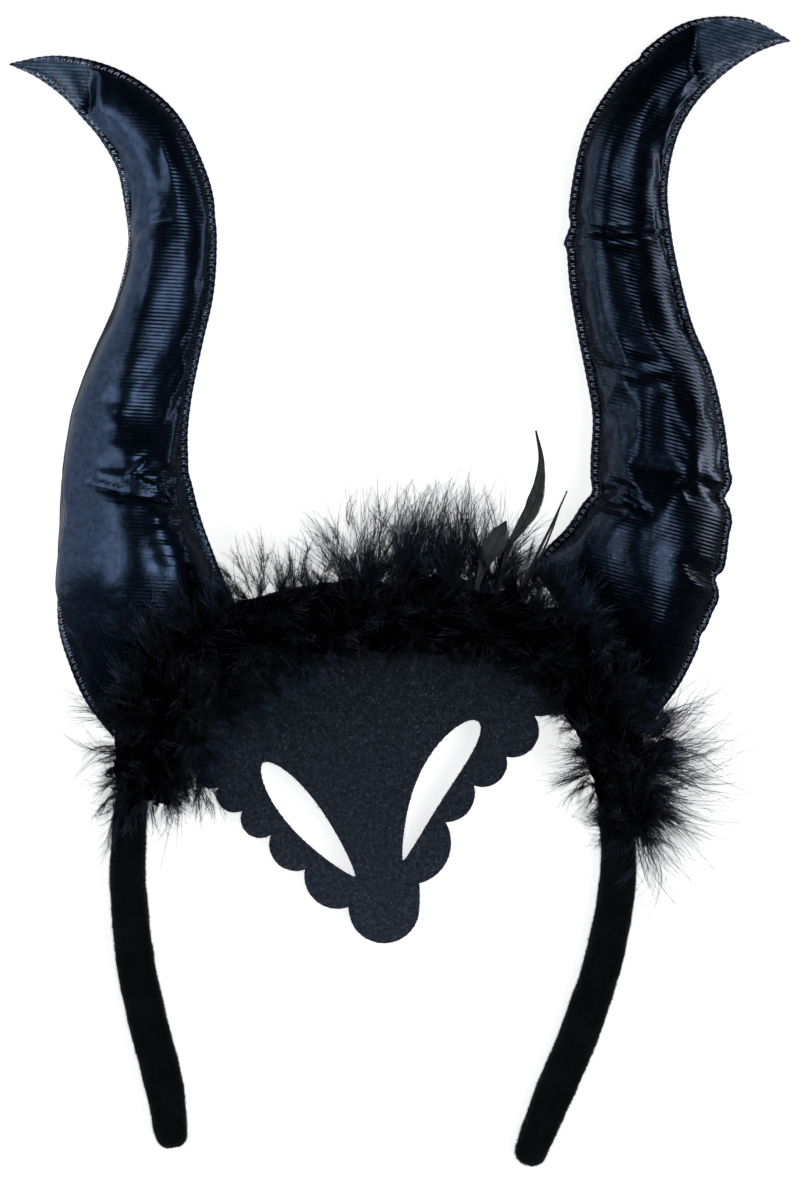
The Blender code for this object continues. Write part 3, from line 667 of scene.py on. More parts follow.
def link(name, mesh, material):
    if material:
        mesh.materials.append(material)
    obj = bpy.data.objects.new(name, mesh)
    bpy.context.scene.collection.objects.link(obj)
    return obj


def skin_from(points, name, material):
    """A finished object from a rolled grid of points, without the grid's own numbers."""
    skin = object_from(rolled_grid(points), name, material)
    for layer in ("ring", "side"):
        skin.data.attributes.remove(skin.data.attributes[layer])
    return skin


def read_all(items, key, width):
    """One property of every item of a collection, as rows of an array."""
    values = np.empty(len(items) * width)
    items.foreach_get(key, values)
    return values.reshape(-1, width)


def joined_arrays(name, parts, material, tipward=None):
    """One mesh from many small shapes, given as (points, faces) arrays in millimetres.

    Tipward is how far along its barb each point lies, kept as an attribute.
    """
    points = []
    faces = []
    offset = 0
    for part_points, part_faces in parts:
        points.append(part_points.reshape(-1, 3))
        faces += (part_faces + offset).tolist()
        offset += len(points[-1])
    mesh = bpy.data.meshes.new(name)
    mesh.from_pydata((np.concatenate(points) * MM).tolist(), [], faces)
    mesh.shade_smooth()
    if tipward is not None:
        mesh.attributes.new("tipward", "FLOAT", "POINT").data.foreach_set("value", tipward)
    return link(name, mesh, material)


def tubes(lines, radii, sides, upright):
    """Round threads along lines shaped (thread, step, 3), each step with its own radius."""
    count, steps, _ = lines.shape
    tangent = unit(np.gradient(lines, axis=1))
    across = unit(np.cross(tangent, upright[:, None, :]))
    over = np.cross(across, tangent)
    angles = np.arange(sides) * 2.0 * math.pi / sides
    ring = np.cos(angles)[:, None] * across[:, :, None, :] + np.sin(angles)[:, None] * over[:, :, None, :]
    points = lines[:, :, None, :] + ring * np.asarray(radii)[None, :, None, None]
    index = np.arange(count * steps * sides).reshape(count, steps, sides)
    near = index[:, :-1]
    far = index[:, 1:]
    faces = np.stack([near, np.roll(near, -1, 2), np.roll(far, -1, 2), far], axis=-1)
    return points, faces.reshape(-1, 4)


def ribbons(lines, widths, facing):
    """Flat strips along lines shaped (strip, step, 3), turned about themselves by facing."""
    count, steps, _ = lines.shape
    tangent = unit(np.gradient(lines, axis=1))
    side = unit(np.cross(tangent, facing[:, None, :]))
    half = 0.5 * widths[..., None]
    points = np.stack([lines - side * half, lines + side * half], axis=2)
    index = np.arange(count * steps * 2).reshape(count, steps, 2)
    near = index[:, :-1]
    far = index[:, 1:]
    faces = np.stack([near[..., 0], near[..., 1], far[..., 1], far[..., 0]], axis=-1)
    return points, faces.reshape(-1, 4)


def slivers(roots, tips, width, source):
    """Single thin triangles from roots to tips, for fibres too fine for more."""
    side = unit(np.cross(tips - roots, source.normal(size=roots.shape))) * (0.5 * width)
    points = np.stack([roots - side, roots + side, tips], axis=-2)
    return points, np.arange(points.size // 3).reshape(-1, 3)


# Horns


def horn_form(horn, positions, front_count, back_count):
    """A horn's skin at its row positions, shaped (ring, side, 3), and its two seams.

    Round each ring run the front panel, the inner seam edge, the back panel and the outer
    seam edge. Each seam is (root, edge, normal) arrays with one row for each ring.
    """
    rows = smooth_table(horn.rows, positions)
    span = rows[:, 2:4] - rows[:, 0:2]
    width = np.linalg.norm(span, axis=1)
    across = span / width[:, None]
    belly = np.maximum(rows[:, 4], 0.0)
    seam = rows[:, 5]
    crown = rows[:, 6]
    flange = np.minimum(SEAM_WIDTH, NARROW_SEAM_SHARE * width)
    half_thick = 0.5 * np.minimum(SEAM_THICKNESS, crown - belly)
    tuck = horn.tuck
    tucked = np.zeros(len(positions))
    if tuck.degrees:
        tucked = smooth_step(tuck.first, tuck.full_from, positions)
        tucked = tucked * (1.0 - smooth_step(tuck.full_to, tuck.last, positions))
    roll = np.radians(tuck.degrees) * tucked
    shown = flange * (1.0 - tucked)
    half = 0.5 * (width - shown - flange)

    skew = horn.skew * (1.0 - smooth_step(*SLANT_FADE, positions))
    at_base = 1.0 - smooth_step(*BASE_SLANT_FADE, positions)
    skew = (skew * (1.0 + BASE_SLANT_EXTRA * at_base))[:, None]

    def section(angles, panel):
        cos = np.cos(angles)
        sin = np.sin(angles)
        tilt = np.where(sin > 0.0, 1.0 - skew * cos, 1.0)
        x = shown[:, None] + half[:, None] * (1.0 - np.sign(cos) * np.abs(cos) ** SECTION_ACROSS_POWER)
        reach = np.where(sin > 0.0, (crown - seam)[:, None], (seam - belly)[:, None])
        edge = panel * half_thick[:, None] * np.abs(cos) ** SEAM_EDGE_POWER
        swell = np.maximum(reach - half_thick[:, None], 0.0) * np.sign(sin)
        z = seam[:, None] + edge + tilt * swell * np.abs(sin) ** SECTION_RISE_POWER
        return np.stack([x, z], axis=-1)

    def seam_edge(root, direction, normal):
        reach = np.array(SEAM_REACH)
        side = np.sign(SEAM_RIM - np.arange(SEAM_POINTS))
        lift = side * np.sqrt(1.0 - reach**SEAM_EDGE_POWER)
        out = root[:, None] + direction[:, None] * (reach[None, :, None] * flange[:, None, None])
        return out + normal[:, None] * (lift[None, :, None] * half_thick[:, None, None])

    shares = np.linspace(0.0, 1.0, front_count)
    front = section(-roll[:, None] + (math.pi + roll)[:, None] * shares, 1.0)
    shares = np.linspace(0.0, 1.0, back_count)
    back = section(math.pi + (math.pi - roll)[:, None] * shares, -1.0)
    outer_root = section(-roll[:, None], 0.0)[:, 0]
    inner_root = section(np.full((len(positions), 1), math.pi), 0.0)[:, 0]
    turned = TUCKED_EDGE_TURN * roll
    outer_way = np.stack([-np.cos(turned), -np.sin(turned)], axis=-1)
    outer_normal = np.stack([-np.sin(turned), np.cos(turned)], axis=-1)
    inner_way = np.tile([1.0, 0.0], (len(positions), 1))
    inner_normal = np.tile([0.0, 1.0], (len(positions), 1))
    inner_edge = seam_edge(inner_root, inner_way, inner_normal)
    outer_edge = seam_edge(outer_root, outer_way, outer_normal)[:, ::-1]
    ring = np.concatenate([front, inner_edge, back, outer_edge], axis=1)

    def placed(flat):
        xy = rows[:, None, 0:2] + across[:, None, :] * flat[..., 0:1]
        return np.concatenate([xy, flat[..., 1:2]], axis=-1)

    def spot(flat):
        return placed(flat[:, None, :])[:, 0]

    def turned_out(flat):
        return np.concatenate([across * flat[:, 0:1], flat[:, 1:2]], axis=-1)

    points = placed(ring)
    outer = (spot(outer_root), spot(outer_edge[:, SEAM_RIM]), turned_out(outer_normal))
    inner = (spot(inner_root), spot(inner_edge[:, SEAM_RIM]), turned_out(inner_normal))
    moves = []
    for root, edge, side in ((outer[0], outer[1], "outer"), (inner[0], inner[1], "inner")):
        shift = np.zeros(len(positions))
        for notch in horn.notches:
            if notch.side == side:
                away = np.linalg.norm(edge[:, :2] - [notch.x, notch.y], axis=1)
                shift += notch.depth * np.exp(-((away / notch.width) ** 2))
        inward = across if side == "outer" else -across
        moves.append(np.concatenate([inward * shift[:, None], shift[:, None] * 0.0], axis=1))
    gap = np.linalg.norm(points[..., :2] - outer[1][:, None, :2], axis=-1)
    share = np.clip(gap / width[:, None], 0.0, 1.0)
    points = points + moves[0][:, None] * ((1.0 - share) ** NOTCH_FADE_POWER)[..., None]
    points = points + moves[1][:, None] * (share**NOTCH_FADE_POWER)[..., None]
    outer = (outer[0] + moves[0], outer[1] + moves[0], outer[2])
    inner = (inner[0] + moves[1], inner[1] + moves[1], inner[2])
    return points, outer, inner


def grid_normals(points):
    """Outward unit normals of a rolled grid."""
    along = np.gradient(points, axis=0)
    around = np.roll(points, -1, axis=1) - np.roll(points, 1, axis=1)
    normals = unit(np.cross(around, along))
    outward = points - points.mean(axis=1, keepdims=True)
    flip = np.sign(np.sum(normals * outward, axis=-1).mean())
    return normals * flip


def held_weights(front_count, back_count, sides):
    """1 on a ring's seam edges, which the stitches hold, fading to 0 on its panels."""
    place = np.arange(sides)
    inner = front_count + SEAM_RIM
    outer = inner + SEAM_POINTS + back_count
    near = np.minimum(np.abs(place - inner), np.abs(place - outer))
    return 1.0 - smooth_step(SEAM_RIM + 0.5, SEAM_RIM + 2.5, near)


def settle_padding(name, points, held, extra_fabric, pressure, cap):
    """How far each point of a stuffed skin moves as its padding pushes it out.

    The seams are held, and the fabric is cut a little larger than the form, so that it
    gathers into folds along them. Points are in millimetres, shaped (ring, side, 3).
    """
    bm = rolled_grid(points)
    obj = object_from(bm, name, None)
    keys = (obj.data.attributes[layer].data for layer in ("ring", "side"))
    ring, side = (np.array([item.value for item in key]) for key in keys)
    group = obj.vertex_groups.new(name="held")
    for index in range(len(ring)):
        weight = float(held[ring[index], side[index]])
        if weight > 0.0:
            group.add([index], weight, "REPLACE")
    cloth = obj.modifiers.new("Padding", "CLOTH")
    cloth.settings.quality = 6
    cloth.settings.mass = 0.3
    cloth.settings.tension_stiffness = 15.0
    cloth.settings.compression_stiffness = 12.0
    cloth.settings.shear_stiffness = 5.0
    cloth.settings.bending_stiffness = 0.6
    cloth.settings.use_pressure = True
    cloth.settings.uniform_pressure_force = pressure
    cloth.settings.shrink_min = -extra_fabric
    cloth.settings.vertex_group_mass = "held"
    cloth.settings.effector_weights.gravity = 0.0
    cloth.collision_settings.use_collision = False
    scene = bpy.context.scene
    for step in range(1, SETTLING_FRAMES + 1):
        scene.frame_set(step)
    evaluated = obj.evaluated_get(bpy.context.evaluated_depsgraph_get())
    moved = np.zeros(points.shape)
    moved[ring, side] = read_all(evaluated.data.vertices, "co", 3) / MM - points[ring, side]
    scene.frame_set(1)
    bpy.data.objects.remove(obj, do_unlink=True)
    far = np.linalg.norm(moved, axis=-1, keepdims=True)
    return moved * np.minimum(1.0, cap / np.maximum(far, 1e-6))


def finer_field(field, ring_places, side_places):
    """A field on a coarse rolled grid read at finer ring and side places."""
    rings, sides, _ = field.shape
    along = smooth_table(field.reshape(rings, sides * 3), ring_places)
    along = along.reshape(len(ring_places), sides, 3).transpose(1, 0, 2)
    wrapped = np.concatenate([along[-2:], along, along[:3]])
    around = smooth_table(wrapped.reshape(sides + 5, -1), side_places + 2.0)
    return around.reshape(len(side_places), len(ring_places), 3).transpose(1, 0, 2)


def press_creases(points, normals, creases):
    """How far each point of a horn's front moves along its normal for the creases."""
    total = np.zeros(points.shape[:-1])
    for crease in creases:
        away, share = segment_distance(points, crease.x0, crease.y0, crease.x1, crease.y1)
        taper = np.clip(4.0 * share * (1.0 - share), 0.0, 1.0) ** CREASE_TAPER_POWER
        valley = np.exp(-((away / crease.width) ** 2))
        taper = np.maximum(taper, CREASE_END_DEPTH * valley)
        beyond = away / crease.width - CREASE_LIP_PLACE
        lip = CREASE_LIP * np.exp(-(beyond**2))
        total -= crease.depth * taper * (valley - lip)
    return total * smooth_step(0.05, 0.5, normals[..., 2])


def seam_puckers(points, seam, source, height):
    """Small gathers that run from a seam into the panels beside it."""
    turns = travelled(seam) * 2 * math.pi
    phase = source.uniform(0.0, 6.3, 3)
    sway = PUCKER_SWAY * np.sin(turns / PUCKER_SWAY_LENGTH + phase[0])
    wave = np.sin(turns / PUCKER_LENGTH + sway + phase[1])
    wave = wave * (0.45 + 0.55 * np.sin(turns / PUCKER_FADE_LENGTH + phase[2]) ** 2)
    away = np.linalg.norm(points - seam[:, None], axis=-1)
    onset = smooth_step(0.2, 2.0, away)
    return height * wave[:, None] * onset * np.exp(-away / PUCKER_REACH)


def centre_line(table):
    return 0.5 * (table[:, 0:2] + table[:, 2:4])


def make_horn(horn, settings, material):
    """A stuffed horn: its sewn form, settled by its padding, with creases and puckers."""
    source = np.random.default_rng(horn.seed)
    front_count = settings.front_points
    back_count = settings.back_points
    positions = even_positions(horn.rows, centre_line, settings.rings)
    points, outer, inner = horn_form(horn, positions, front_count, back_count)
    normals = grid_normals(points)
    sides = points.shape[1]
    held = held_weights(front_count, back_count, sides)
    coarse_front = front_count // 2
    coarse_back = back_count // 2
    coarse_positions = positions[::2]
    coarse, _, _ = horn_form(horn, coarse_positions, coarse_front, coarse_back)
    coarse_sides = coarse.shape[1]
    pinned = np.tile(held_weights(coarse_front, coarse_back, coarse_sides), (len(coarse), 1))
    pinned[:HELD_BASE_RINGS] = 1.0
    pinned[-HELD_TIP_RINGS:] = 1.0
    moved = settle_padding(
        horn.node + "_padding",
        coarse,
        pinned,
        settings.extra_fabric,
        settings.pressure,
        settings.padding_cap / MM,
    )
    ring_places = np.arange(len(positions)) / 2.0
    ring_places = np.minimum(ring_places, len(coarse) - 1.0)
    fine_parts = (front_count, SEAM_POINTS, back_count, SEAM_POINTS)
    coarse_parts = (coarse_front, SEAM_POINTS, coarse_back, SEAM_POINTS)
    side_places = []
    first = 0
    for fine_part, coarse_part in zip(fine_parts, coarse_parts):
        side_places.append(first + np.linspace(0.0, coarse_part - 1.0, fine_part))
        first += coarse_part
    points = points + finer_field(moved, ring_places, np.concatenate(side_places))
    normals = grid_normals(points)
    lumps = swell_noise(points, LUMP_SIZE, horn.seed)
    lumps += SMALL_LUMP_SHARE * swell_noise(points, SMALL_LUMP_SIZE, horn.seed + 1)
    rise = settings.lump_height / MM * lumps + press_creases(points, normals, horn.creases)
    height = settings.pucker_height / MM
    rise += seam_puckers(points, outer[0], source, height) * (1.0 - bool(horn.tuck.degrees))
    rise += seam_puckers(points, inner[0], source, height)
    panel = (1.0 - held)[None, :]
    from_tip = len(horn.rows) - positions
    relief = FLAT_TIP_RELIEF + (1.0 - FLAT_TIP_RELIEF) * smooth_step(*FLAT_TIP_ROWS, from_tip)
    points = points + normals * (rise * panel * relief[:, None])[..., None]
    points[..., 2] = np.maximum(points[..., 2], 0.0)
    return skin_from(points, horn.node + "_skin", material), outer, inner


def evenly_spaced(line, pitch, *others):
    """Points at a pitch along a line, with matching rows of the arrays that go with it."""
    distance = travelled(line)
    wanted = np.arange(0.5 * pitch, distance[-1], pitch)
    return [read_at(wanted, distance, array) for array in (line, *others)]


def overlock(seam, settings):
    """One seam's stitches: the strands that wrap its edge, and the loops on them, which carry a painted
    glint.
    """
    root, edge, normal = seam
    pitch = settings.stitch_pitch / MM
    thread = settings.thread_radius / MM
    edges, roots, normals = evenly_spaced(edge, pitch, root, normal)
    normals = unit(normals)
    along = unit(np.gradient(edges, axis=0))
    out = edges - roots
    width = np.linalg.norm(out, axis=1, keepdims=True)
    out = out / np.maximum(width, 1e-6)
    lift = 0.5 * SEAM_THICKNESS * np.minimum(1.0, width / SEAM_WIDTH)

    def threads(steps, radius, sides, hand=1.0, face=1.0):
        lines = []
        for way, height, lean in steps:
            shift = along * pitch * lean * hand
            lines.append(roots + out * width * way + normals * lift * height * face + shift)
        lines = np.stack(lines, axis=1)
        lines[..., 2] = np.maximum(lines[..., 2], 1.6 * radius)
        return tubes(lines, np.full(len(steps), radius), sides, along)

    # Steps of a strand: share of the way out, share of the half thickness, lean
    strand = (
        (0.05, 1.05, 0.20),
        (0.30, 1.45, 0.17),
        (0.72, 1.30, 0.13),
        (0.99, 0.00, 0.10),
        (0.72, -1.30, 0.13),
        (0.30, -1.45, 0.17),
        (0.05, -1.05, 0.20),
    )
    loop = ((0.08, 1.15, 0.24), (0.24, 1.75, 0.19), (0.44, 1.70, 0.15), (0.56, 1.25, 0.12))
    wrapped = [threads(strand, thread, 4, hand) for hand in (1.0, -1.0)]
    loops = []
    for hand in (1.0, -1.0):
        for face in (1.0, -1.0):
            loops.append(threads(loop, 1.1 * thread, 5, hand, face))
    return wrapped, loops


# Headband


def band_section(thick, scale, count):
    """A rounded rectangle as offsets across the band and heights above its back."""
    radius = BAND_CORNER * thick
    corners = (
        (0.5 * thick - radius, BAND_DEPTH - radius, 0.0),
        (radius - 0.5 * thick, BAND_DEPTH - radius, 90.0),
        (radius - 0.5 * thick, radius, 180.0),
        (0.5 * thick - radius, radius, 270.0),
    )
    points = []
    for across, height, first_angle in corners:
        for step in range(count):
            angle = math.radians(first_angle + 90.0 * step / (count - 1))
            points.append((across + radius * math.cos(angle), height + radius * math.sin(angle)))
    closed = np.array(points + points[:1])
    distance = travelled(closed)
    even = read_at(np.linspace(0.0, distance[-1], 4 * count, endpoint=False), distance, closed)
    middle = np.array([0.0, 0.5 * BAND_DEPTH])
    return middle + (even - middle) * scale


def band_points(rings):
    """The band's skin, shaped (ring, side, 3), with a rounded tip at each end."""
    positions = even_positions(BAND, lambda table: table[:, 0:2], rings)
    rows = smooth_table(BAND, positions)
    along = unit(np.gradient(rows[:, 0:2], axis=0))
    ends = np.linspace(0.0, 0.5 * math.pi, 7)[1:]
    sections = []
    places = [(0, -math.sin(end) * BAND_TIP_LENGTH, math.cos(end) ** 0.7) for end in ends[::-1]]
    places += [(index, 0.0, 1.0) for index in range(rings)]
    places += [(rings - 1, math.sin(end) * BAND_TIP_LENGTH, math.cos(end) ** 0.7) for end in ends]
    for index, shift, scale in places:
        way = along[index]
        outward = np.array([-way[1], way[0]])
        flat = band_section(rows[index, 2], max(scale, 0.02), 9)
        xy = rows[index, 0:2] + way * shift + flat[:, 0:1] * outward
        sections.append(np.concatenate([xy, flat[:, 1:2]], axis=1))
    return np.stack(sections)


def make_band(settings, material):
    points = band_points(settings.rings)
    normals = grid_normals(points)
    nap = 0.16 * swell_noise(points, 9.0, 3) + 0.09 * swell_noise(points, 2.6, 4)
    points = points + normals * nap[..., None]
    points[..., 2] = np.maximum(points[..., 2], 0.0)
    return skin_from(points, "velour_band", material), points, normals


def scattered(points, normals, count, source):
    """Random places on a rolled grid, with their normals and the way along the grid."""
    rings, sides, _ = points.shape
    along = points[1:] - points[:-1]
    around = np.roll(points, -1, axis=1) - points
    area = np.linalg.norm(np.cross(along, around[:-1]), axis=-1).ravel()
    picked = source.choice(area.size, count, p=area / area.sum())
    ring = picked // sides
    side = picked % sides
    share_along = source.uniform(size=(count, 1))
    share_around = source.uniform(size=(count, 1))
    places = points[ring, side] + along[ring, side] * share_along + around[ring, side] * share_around
    return places, normals[ring, side], unit(along[ring, side])


def make_pile(points, normals, settings, material):
    """The velour's pile: short fibres that lean along the band."""
    source = np.random.default_rng(21)
    places, out, along = scattered(points, normals, settings.pile_fibres, source)
    lean = np.sign(places[:, 0:1]) * along
    way = unit(out + PILE_LEAN * lean + source.normal(scale=PILE_SCATTER, size=places.shape))
    length = settings.pile_length / MM * source.uniform(0.5, 1.25, (len(places), 1))
    tips = places + way * length
    tips[:, 2] = np.maximum(tips[:, 2], PILE_FLOOR)
    places[:, 2] = np.maximum(places[:, 2], PILE_FLOOR)
    return joined_arrays("velour_pile", [slivers(places, tips, PILE_WIDTH, source)], material)


# Felt brow piece


def arc_points(start, end, bulge, step_length):
    """Points from start towards end on an arc that swells to the right of the way."""
    chord = Vector((end.x - start.x, end.y - start.y))
    half = 0.5 * chord.length
    radius = (half * half + bulge * bulge) / (2.0 * bulge)
    half_angle = math.atan2(half, radius - bulge)
    outward = Vector((chord.y, -chord.x)).normalized()
    centre = Vector((start.x, start.y)) + 0.5 * chord + outward * (bulge - radius)
    steps = max(3, round(2.0 * half_angle * radius / step_length))
    back = chord.normalized()
    points = []
    for step in range(steps):
        angle = half_angle * (2.0 * step / steps - 1.0)
        points.append(centre + (outward * math.cos(angle) + back * math.sin(angle)) * radius)
    return points


def brow_outline():
    points = []
    for start, end in zip(BROW_EDGE, BROW_EDGE[1:]):
        points += arc_points(start, end, start.bulge, 1.0)
    points.append(Vector((BROW_EDGE[-1].x, BROW_EDGE[-1].y)))
    positions = np.arange(BROW_LAST_BAND_ROW, BROW_FIRST_BAND_ROW - 0.1, -0.25)
    points += [Vector((row[0], row[1])) for row in smooth_table(BAND, positions)]
    return points


def leaf_outline(leaf):
    """A leaf with blunt ends whose widest place is at its peak, bowed to one side."""
    start = Vector((leaf.x0, leaf.y0))
    axis = Vector((leaf.x1 - leaf.x0, leaf.y1 - leaf.y0))
    side = Vector((-axis.y, axis.x)).normalized()
    warp = math.log(0.5) / math.log(leaf.peak)
    one_side = []
    other_side = []
    for step in range(1, LEAF_POINTS):
        share = 0.5 - 0.5 * math.cos(math.pi * step / LEAF_POINTS)
        middle = start + axis * share + side * leaf.bow * math.sin(math.pi * share)
        half = 0.5 * leaf.width * math.sin(math.pi * share**warp) ** LEAF_BLUNTNESS
        one_side.append(middle + side * half)
        other_side.append(middle - side * half)
    return [start, *one_side, start + axis, *other_side[::-1]]


def brow_back(points):
    """Height of the felt's back: flat on the band, and hanging back away from it."""
    away = np.full(points.shape[:-1], 1e9)
    for first, second in zip(BAND, BAND[1:]):
        found, _ = segment_distance(points, first.x, first.y, second.x, second.y)
        away = np.minimum(away, found)
    sag = BROW_SAG * smooth_step(BROW_SAG_START, BROW_SAG_START + BROW_SAG_SPAN, away)
    waves = 0.5 * swell_noise(points * [1.0, 1.0, 0.0], 46.0, 14) * smooth_step(8.0, 30.0, away)
    return BAND_DEPTH + PIECE_GAP - sag + waves


def make_brow(settings, material):
    """The felt: one sheet cut with scallops and two leaves, hanging from the band's arch."""
    bm = bmesh.new()
    edges = []
    for outline in (brow_outline(), *(leaf_outline(leaf) for leaf in LEAVES)):
        loop = [bm.verts.new((point.x, point.y, 0.0)) for point in outline]
        for first, second in zip(loop, loop[1:] + loop[:1]):
            edges.append(bm.edges.new((first, second)))
    bmesh.ops.triangle_fill(bm, edges=edges, use_beauty=True, normal=(0.0, 0.0, 1.0))
    spacing = settings.grid / MM
    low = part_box("brow_felt")[0] / MM
    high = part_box("brow_felt")[1] / MM
    for axis, first, last in ((Vector((1, 0, 0)), low.x, high.x), (Vector((0, 1, 0)), low.y, high.y)):
        for step in range(1, int((last - first) / spacing) + 1):
            geometry = bm.verts[:] + bm.edges[:] + bm.faces[:]
            place = axis * (first + step * spacing)
            bmesh.ops.bisect_plane(bm, geom=geometry, dist=0.01, plane_co=place, plane_no=axis)
    bmesh.ops.recalc_face_normals(bm, faces=bm.faces)
    places = np.array([vert.co[:] for vert in bm.verts])
    for vert, height in zip(bm.verts, brow_back(places)):
        vert.co.z = height
    lifted = bmesh.ops.extrude_face_region(bm, geom=bm.faces[:])
    moved = [item for item in lifted["geom"] if isinstance(item, bmesh.types.BMVert)]
    bmesh.ops.translate(bm, vec=(0.0, 0.0, BROW_THICKNESS), verts=moved)
    bmesh.ops.recalc_face_normals(bm, faces=bm.faces)
    rims = [edge for edge in bm.edges if edge.calc_face_angle(0.0) > math.radians(60.0)]
    rims = [edge for edge in rims if abs(edge.verts[0].co.z - edge.verts[1].co.z) < 0.5]
    bmesh.ops.bevel(
        bm, geom=rims, offset=0.35, affect="EDGES", segments=2, profile=0.5, material=-1
    )
    return object_from(bm, "brow_felt_sheet", material, 50.0)


def make_felt_fibres(sheet, settings, material):
    """Loose wool fibres that lie on the felt and stand out from its cut edges."""
    source = np.random.default_rng(31)
    faces = sheet.data.polygons
    centres = read_all(faces, "center", 3) / MM
    normals = read_all(faces, "normal", 3)
    areas = read_all(faces, "area", 1)[:, 0]
    picked = source.choice(len(faces), settings.fibres, p=areas / areas.sum())
    face_size = np.sqrt(areas[picked])[:, None] / MM
    jitter = source.uniform(-0.6, 0.6, (settings.fibres, 3)) * face_size
    out = normals[picked]
    jitter -= out * np.sum(jitter * out, axis=1, keepdims=True)
    roots = centres[picked] + jitter + out * 0.02
    way = source.normal(size=roots.shape)
    way -= out * np.sum(way * out, axis=1, keepdims=True)
    way = unit(unit(way) + out * source.uniform(0.02, 0.35, (settings.fibres, 1)))
    length = settings.fibre_length / MM * source.uniform(0.4, 1.3, (settings.fibres, 1))
    fibres = slivers(roots, roots + way * length, FELT_FIBRE_WIDTH, source)
    return joined_arrays("brow_felt_fibres", [fibres], material)


# Feathers


def grow_lines(roots, ways, lengths, pulls, source, steps):
    """Centre lines of barbs, shaped (barb, step, 3), that bend as they grow."""
    way = unit(ways)
    place = roots
    lines = [place]
    for _ in range(steps):
        place = place + way * lengths[:, None] / steps
        lines.append(place)
        way = unit(way + pulls / steps + source.normal(scale=BARB_WANDER, size=way.shape))
    lines = np.stack(lines, axis=1)
    lines[..., 2] = np.clip(lines[..., 2], FIBRE_FLOOR, FIBRE_CEILING)
    return lines


def plume(source, root, way, length, spray, barbs, fan):
    """Root, way, length and pull of each barb of one plume, which bend together."""
    way = unit(way)
    side = unit(np.cross(way, source.normal(size=3)))
    over = np.cross(way, side)
    share = source.uniform(0.0, 1.0, barbs) ** 1.3
    turn = source.uniform(0.0, 2.0 * math.pi, barbs)[:, None]
    aside = side * np.cos(turn) + over * (0.5 * np.sin(turn))
    opening = fan * np.sqrt(source.uniform(0.0, 1.0, barbs)) * (1.0 - 0.5 * share)
    ways = way * np.cos(opening)[:, None] + aside * np.sin(opening)[:, None]
    roots = root + way * (spray * length * share)[:, None]
    reach = 0.45 + 0.55 * source.uniform(0.0, 1.0, barbs) ** 1.6
    lengths = length * (1.0 - spray * share) * reach
    pulls = source.normal(scale=0.5, size=3) + aside * source.uniform(-0.7, 0.5, (barbs, 1))
    return roots, ways, lengths, pulls


def boa_frame(along):
    """Unit ways along the boa and away from the arch, both level, from ways along it."""
    along = unit(along * [1.0, 1.0, 0.0])
    return along, np.stack([-along[:, 1], along[:, 0], np.zeros(len(along))], axis=-1)


def cover_plumes(source, count):
    """Roots, ways, lengths and sprays of the plumes that cover the boa all along it."""
    shares = (np.arange(count) + source.uniform(0.0, 1.0, count)) / count
    rows = smooth_table(BOA, shares * (len(BOA) - 1))
    ahead = smooth_table(BOA, np.clip(shares + 0.01, 0.0, 1.0) * (len(BOA) - 1))
    behind = smooth_table(BOA, np.clip(shares - 0.01, 0.0, 1.0) * (len(BOA) - 1))
    along, outward = boa_frame((ahead - behind)[:, :3])
    reach = smooth_table(PLUME_REACH, shares * (len(PLUME_REACH) - 1))
    angle = np.radians(source.uniform(*COVER_ANGLES, count))
    outer = np.maximum(np.cos(angle), 0.0) ** 2
    inner = np.maximum(-np.cos(angle), 0.0) ** 2
    front = 1.0 - outer - inner
    mass = reach[:, 2] * outer + reach[:, 3] * inner + MASS_FRONT * front - COVER_ROOT_DEPTH
    length = (reach[:, 0] - mass) * outer + (reach[:, 1] - mass) * inner
    length = np.maximum(length + COVER_FRONT_LENGTH * front, COVER_LEAST_LENGTH)
    length = length * source.uniform(0.8, 1.2, count)
    cos = np.cos(angle)[:, None]
    sin = np.sin(angle)[:, None]
    up = np.array([0.0, 0.0, 1.0])
    away = outward * cos + up * sin
    around = up * cos - outward * sin
    turn = source.uniform(0.0, 2.0 * math.pi, (count, 1))
    lying = along * np.cos(turn) + around * np.sin(turn)
    way = unit(away * (1.3 - 0.95 * front)[:, None] + lying)
    return rows[:, :3] + away * mass[:, None], way, length, np.full(count, COVER_SPRAY)


def tuft_plumes(source):
    """Roots, ways, lengths and sprays of the plumes of the tufts."""
    roots = []
    ways = []
    lengths = []
    sprays = []
    for tuft in TUFTS:
        for _ in range(tuft.plumes):
            heading = math.radians(tuft.heading + source.normal(scale=tuft.spread))
            rise = math.radians(tuft.rise + source.normal(scale=TUFT_RISE_SPREAD))
            flat = math.cos(rise)
            ways.append((math.cos(heading) * flat, math.sin(heading) * flat, math.sin(rise)))
            jitter = source.normal(scale=TUFT_ROOT_SPREAD, size=3)
            roots.append(np.array([tuft.x, tuft.y, tuft.z]) + jitter)
            lengths.append(tuft.length * source.uniform(0.95, 1.3))
            sprays.append(tuft.spray)
    return np.array(roots), np.array(ways), np.array(lengths), np.array(sprays)


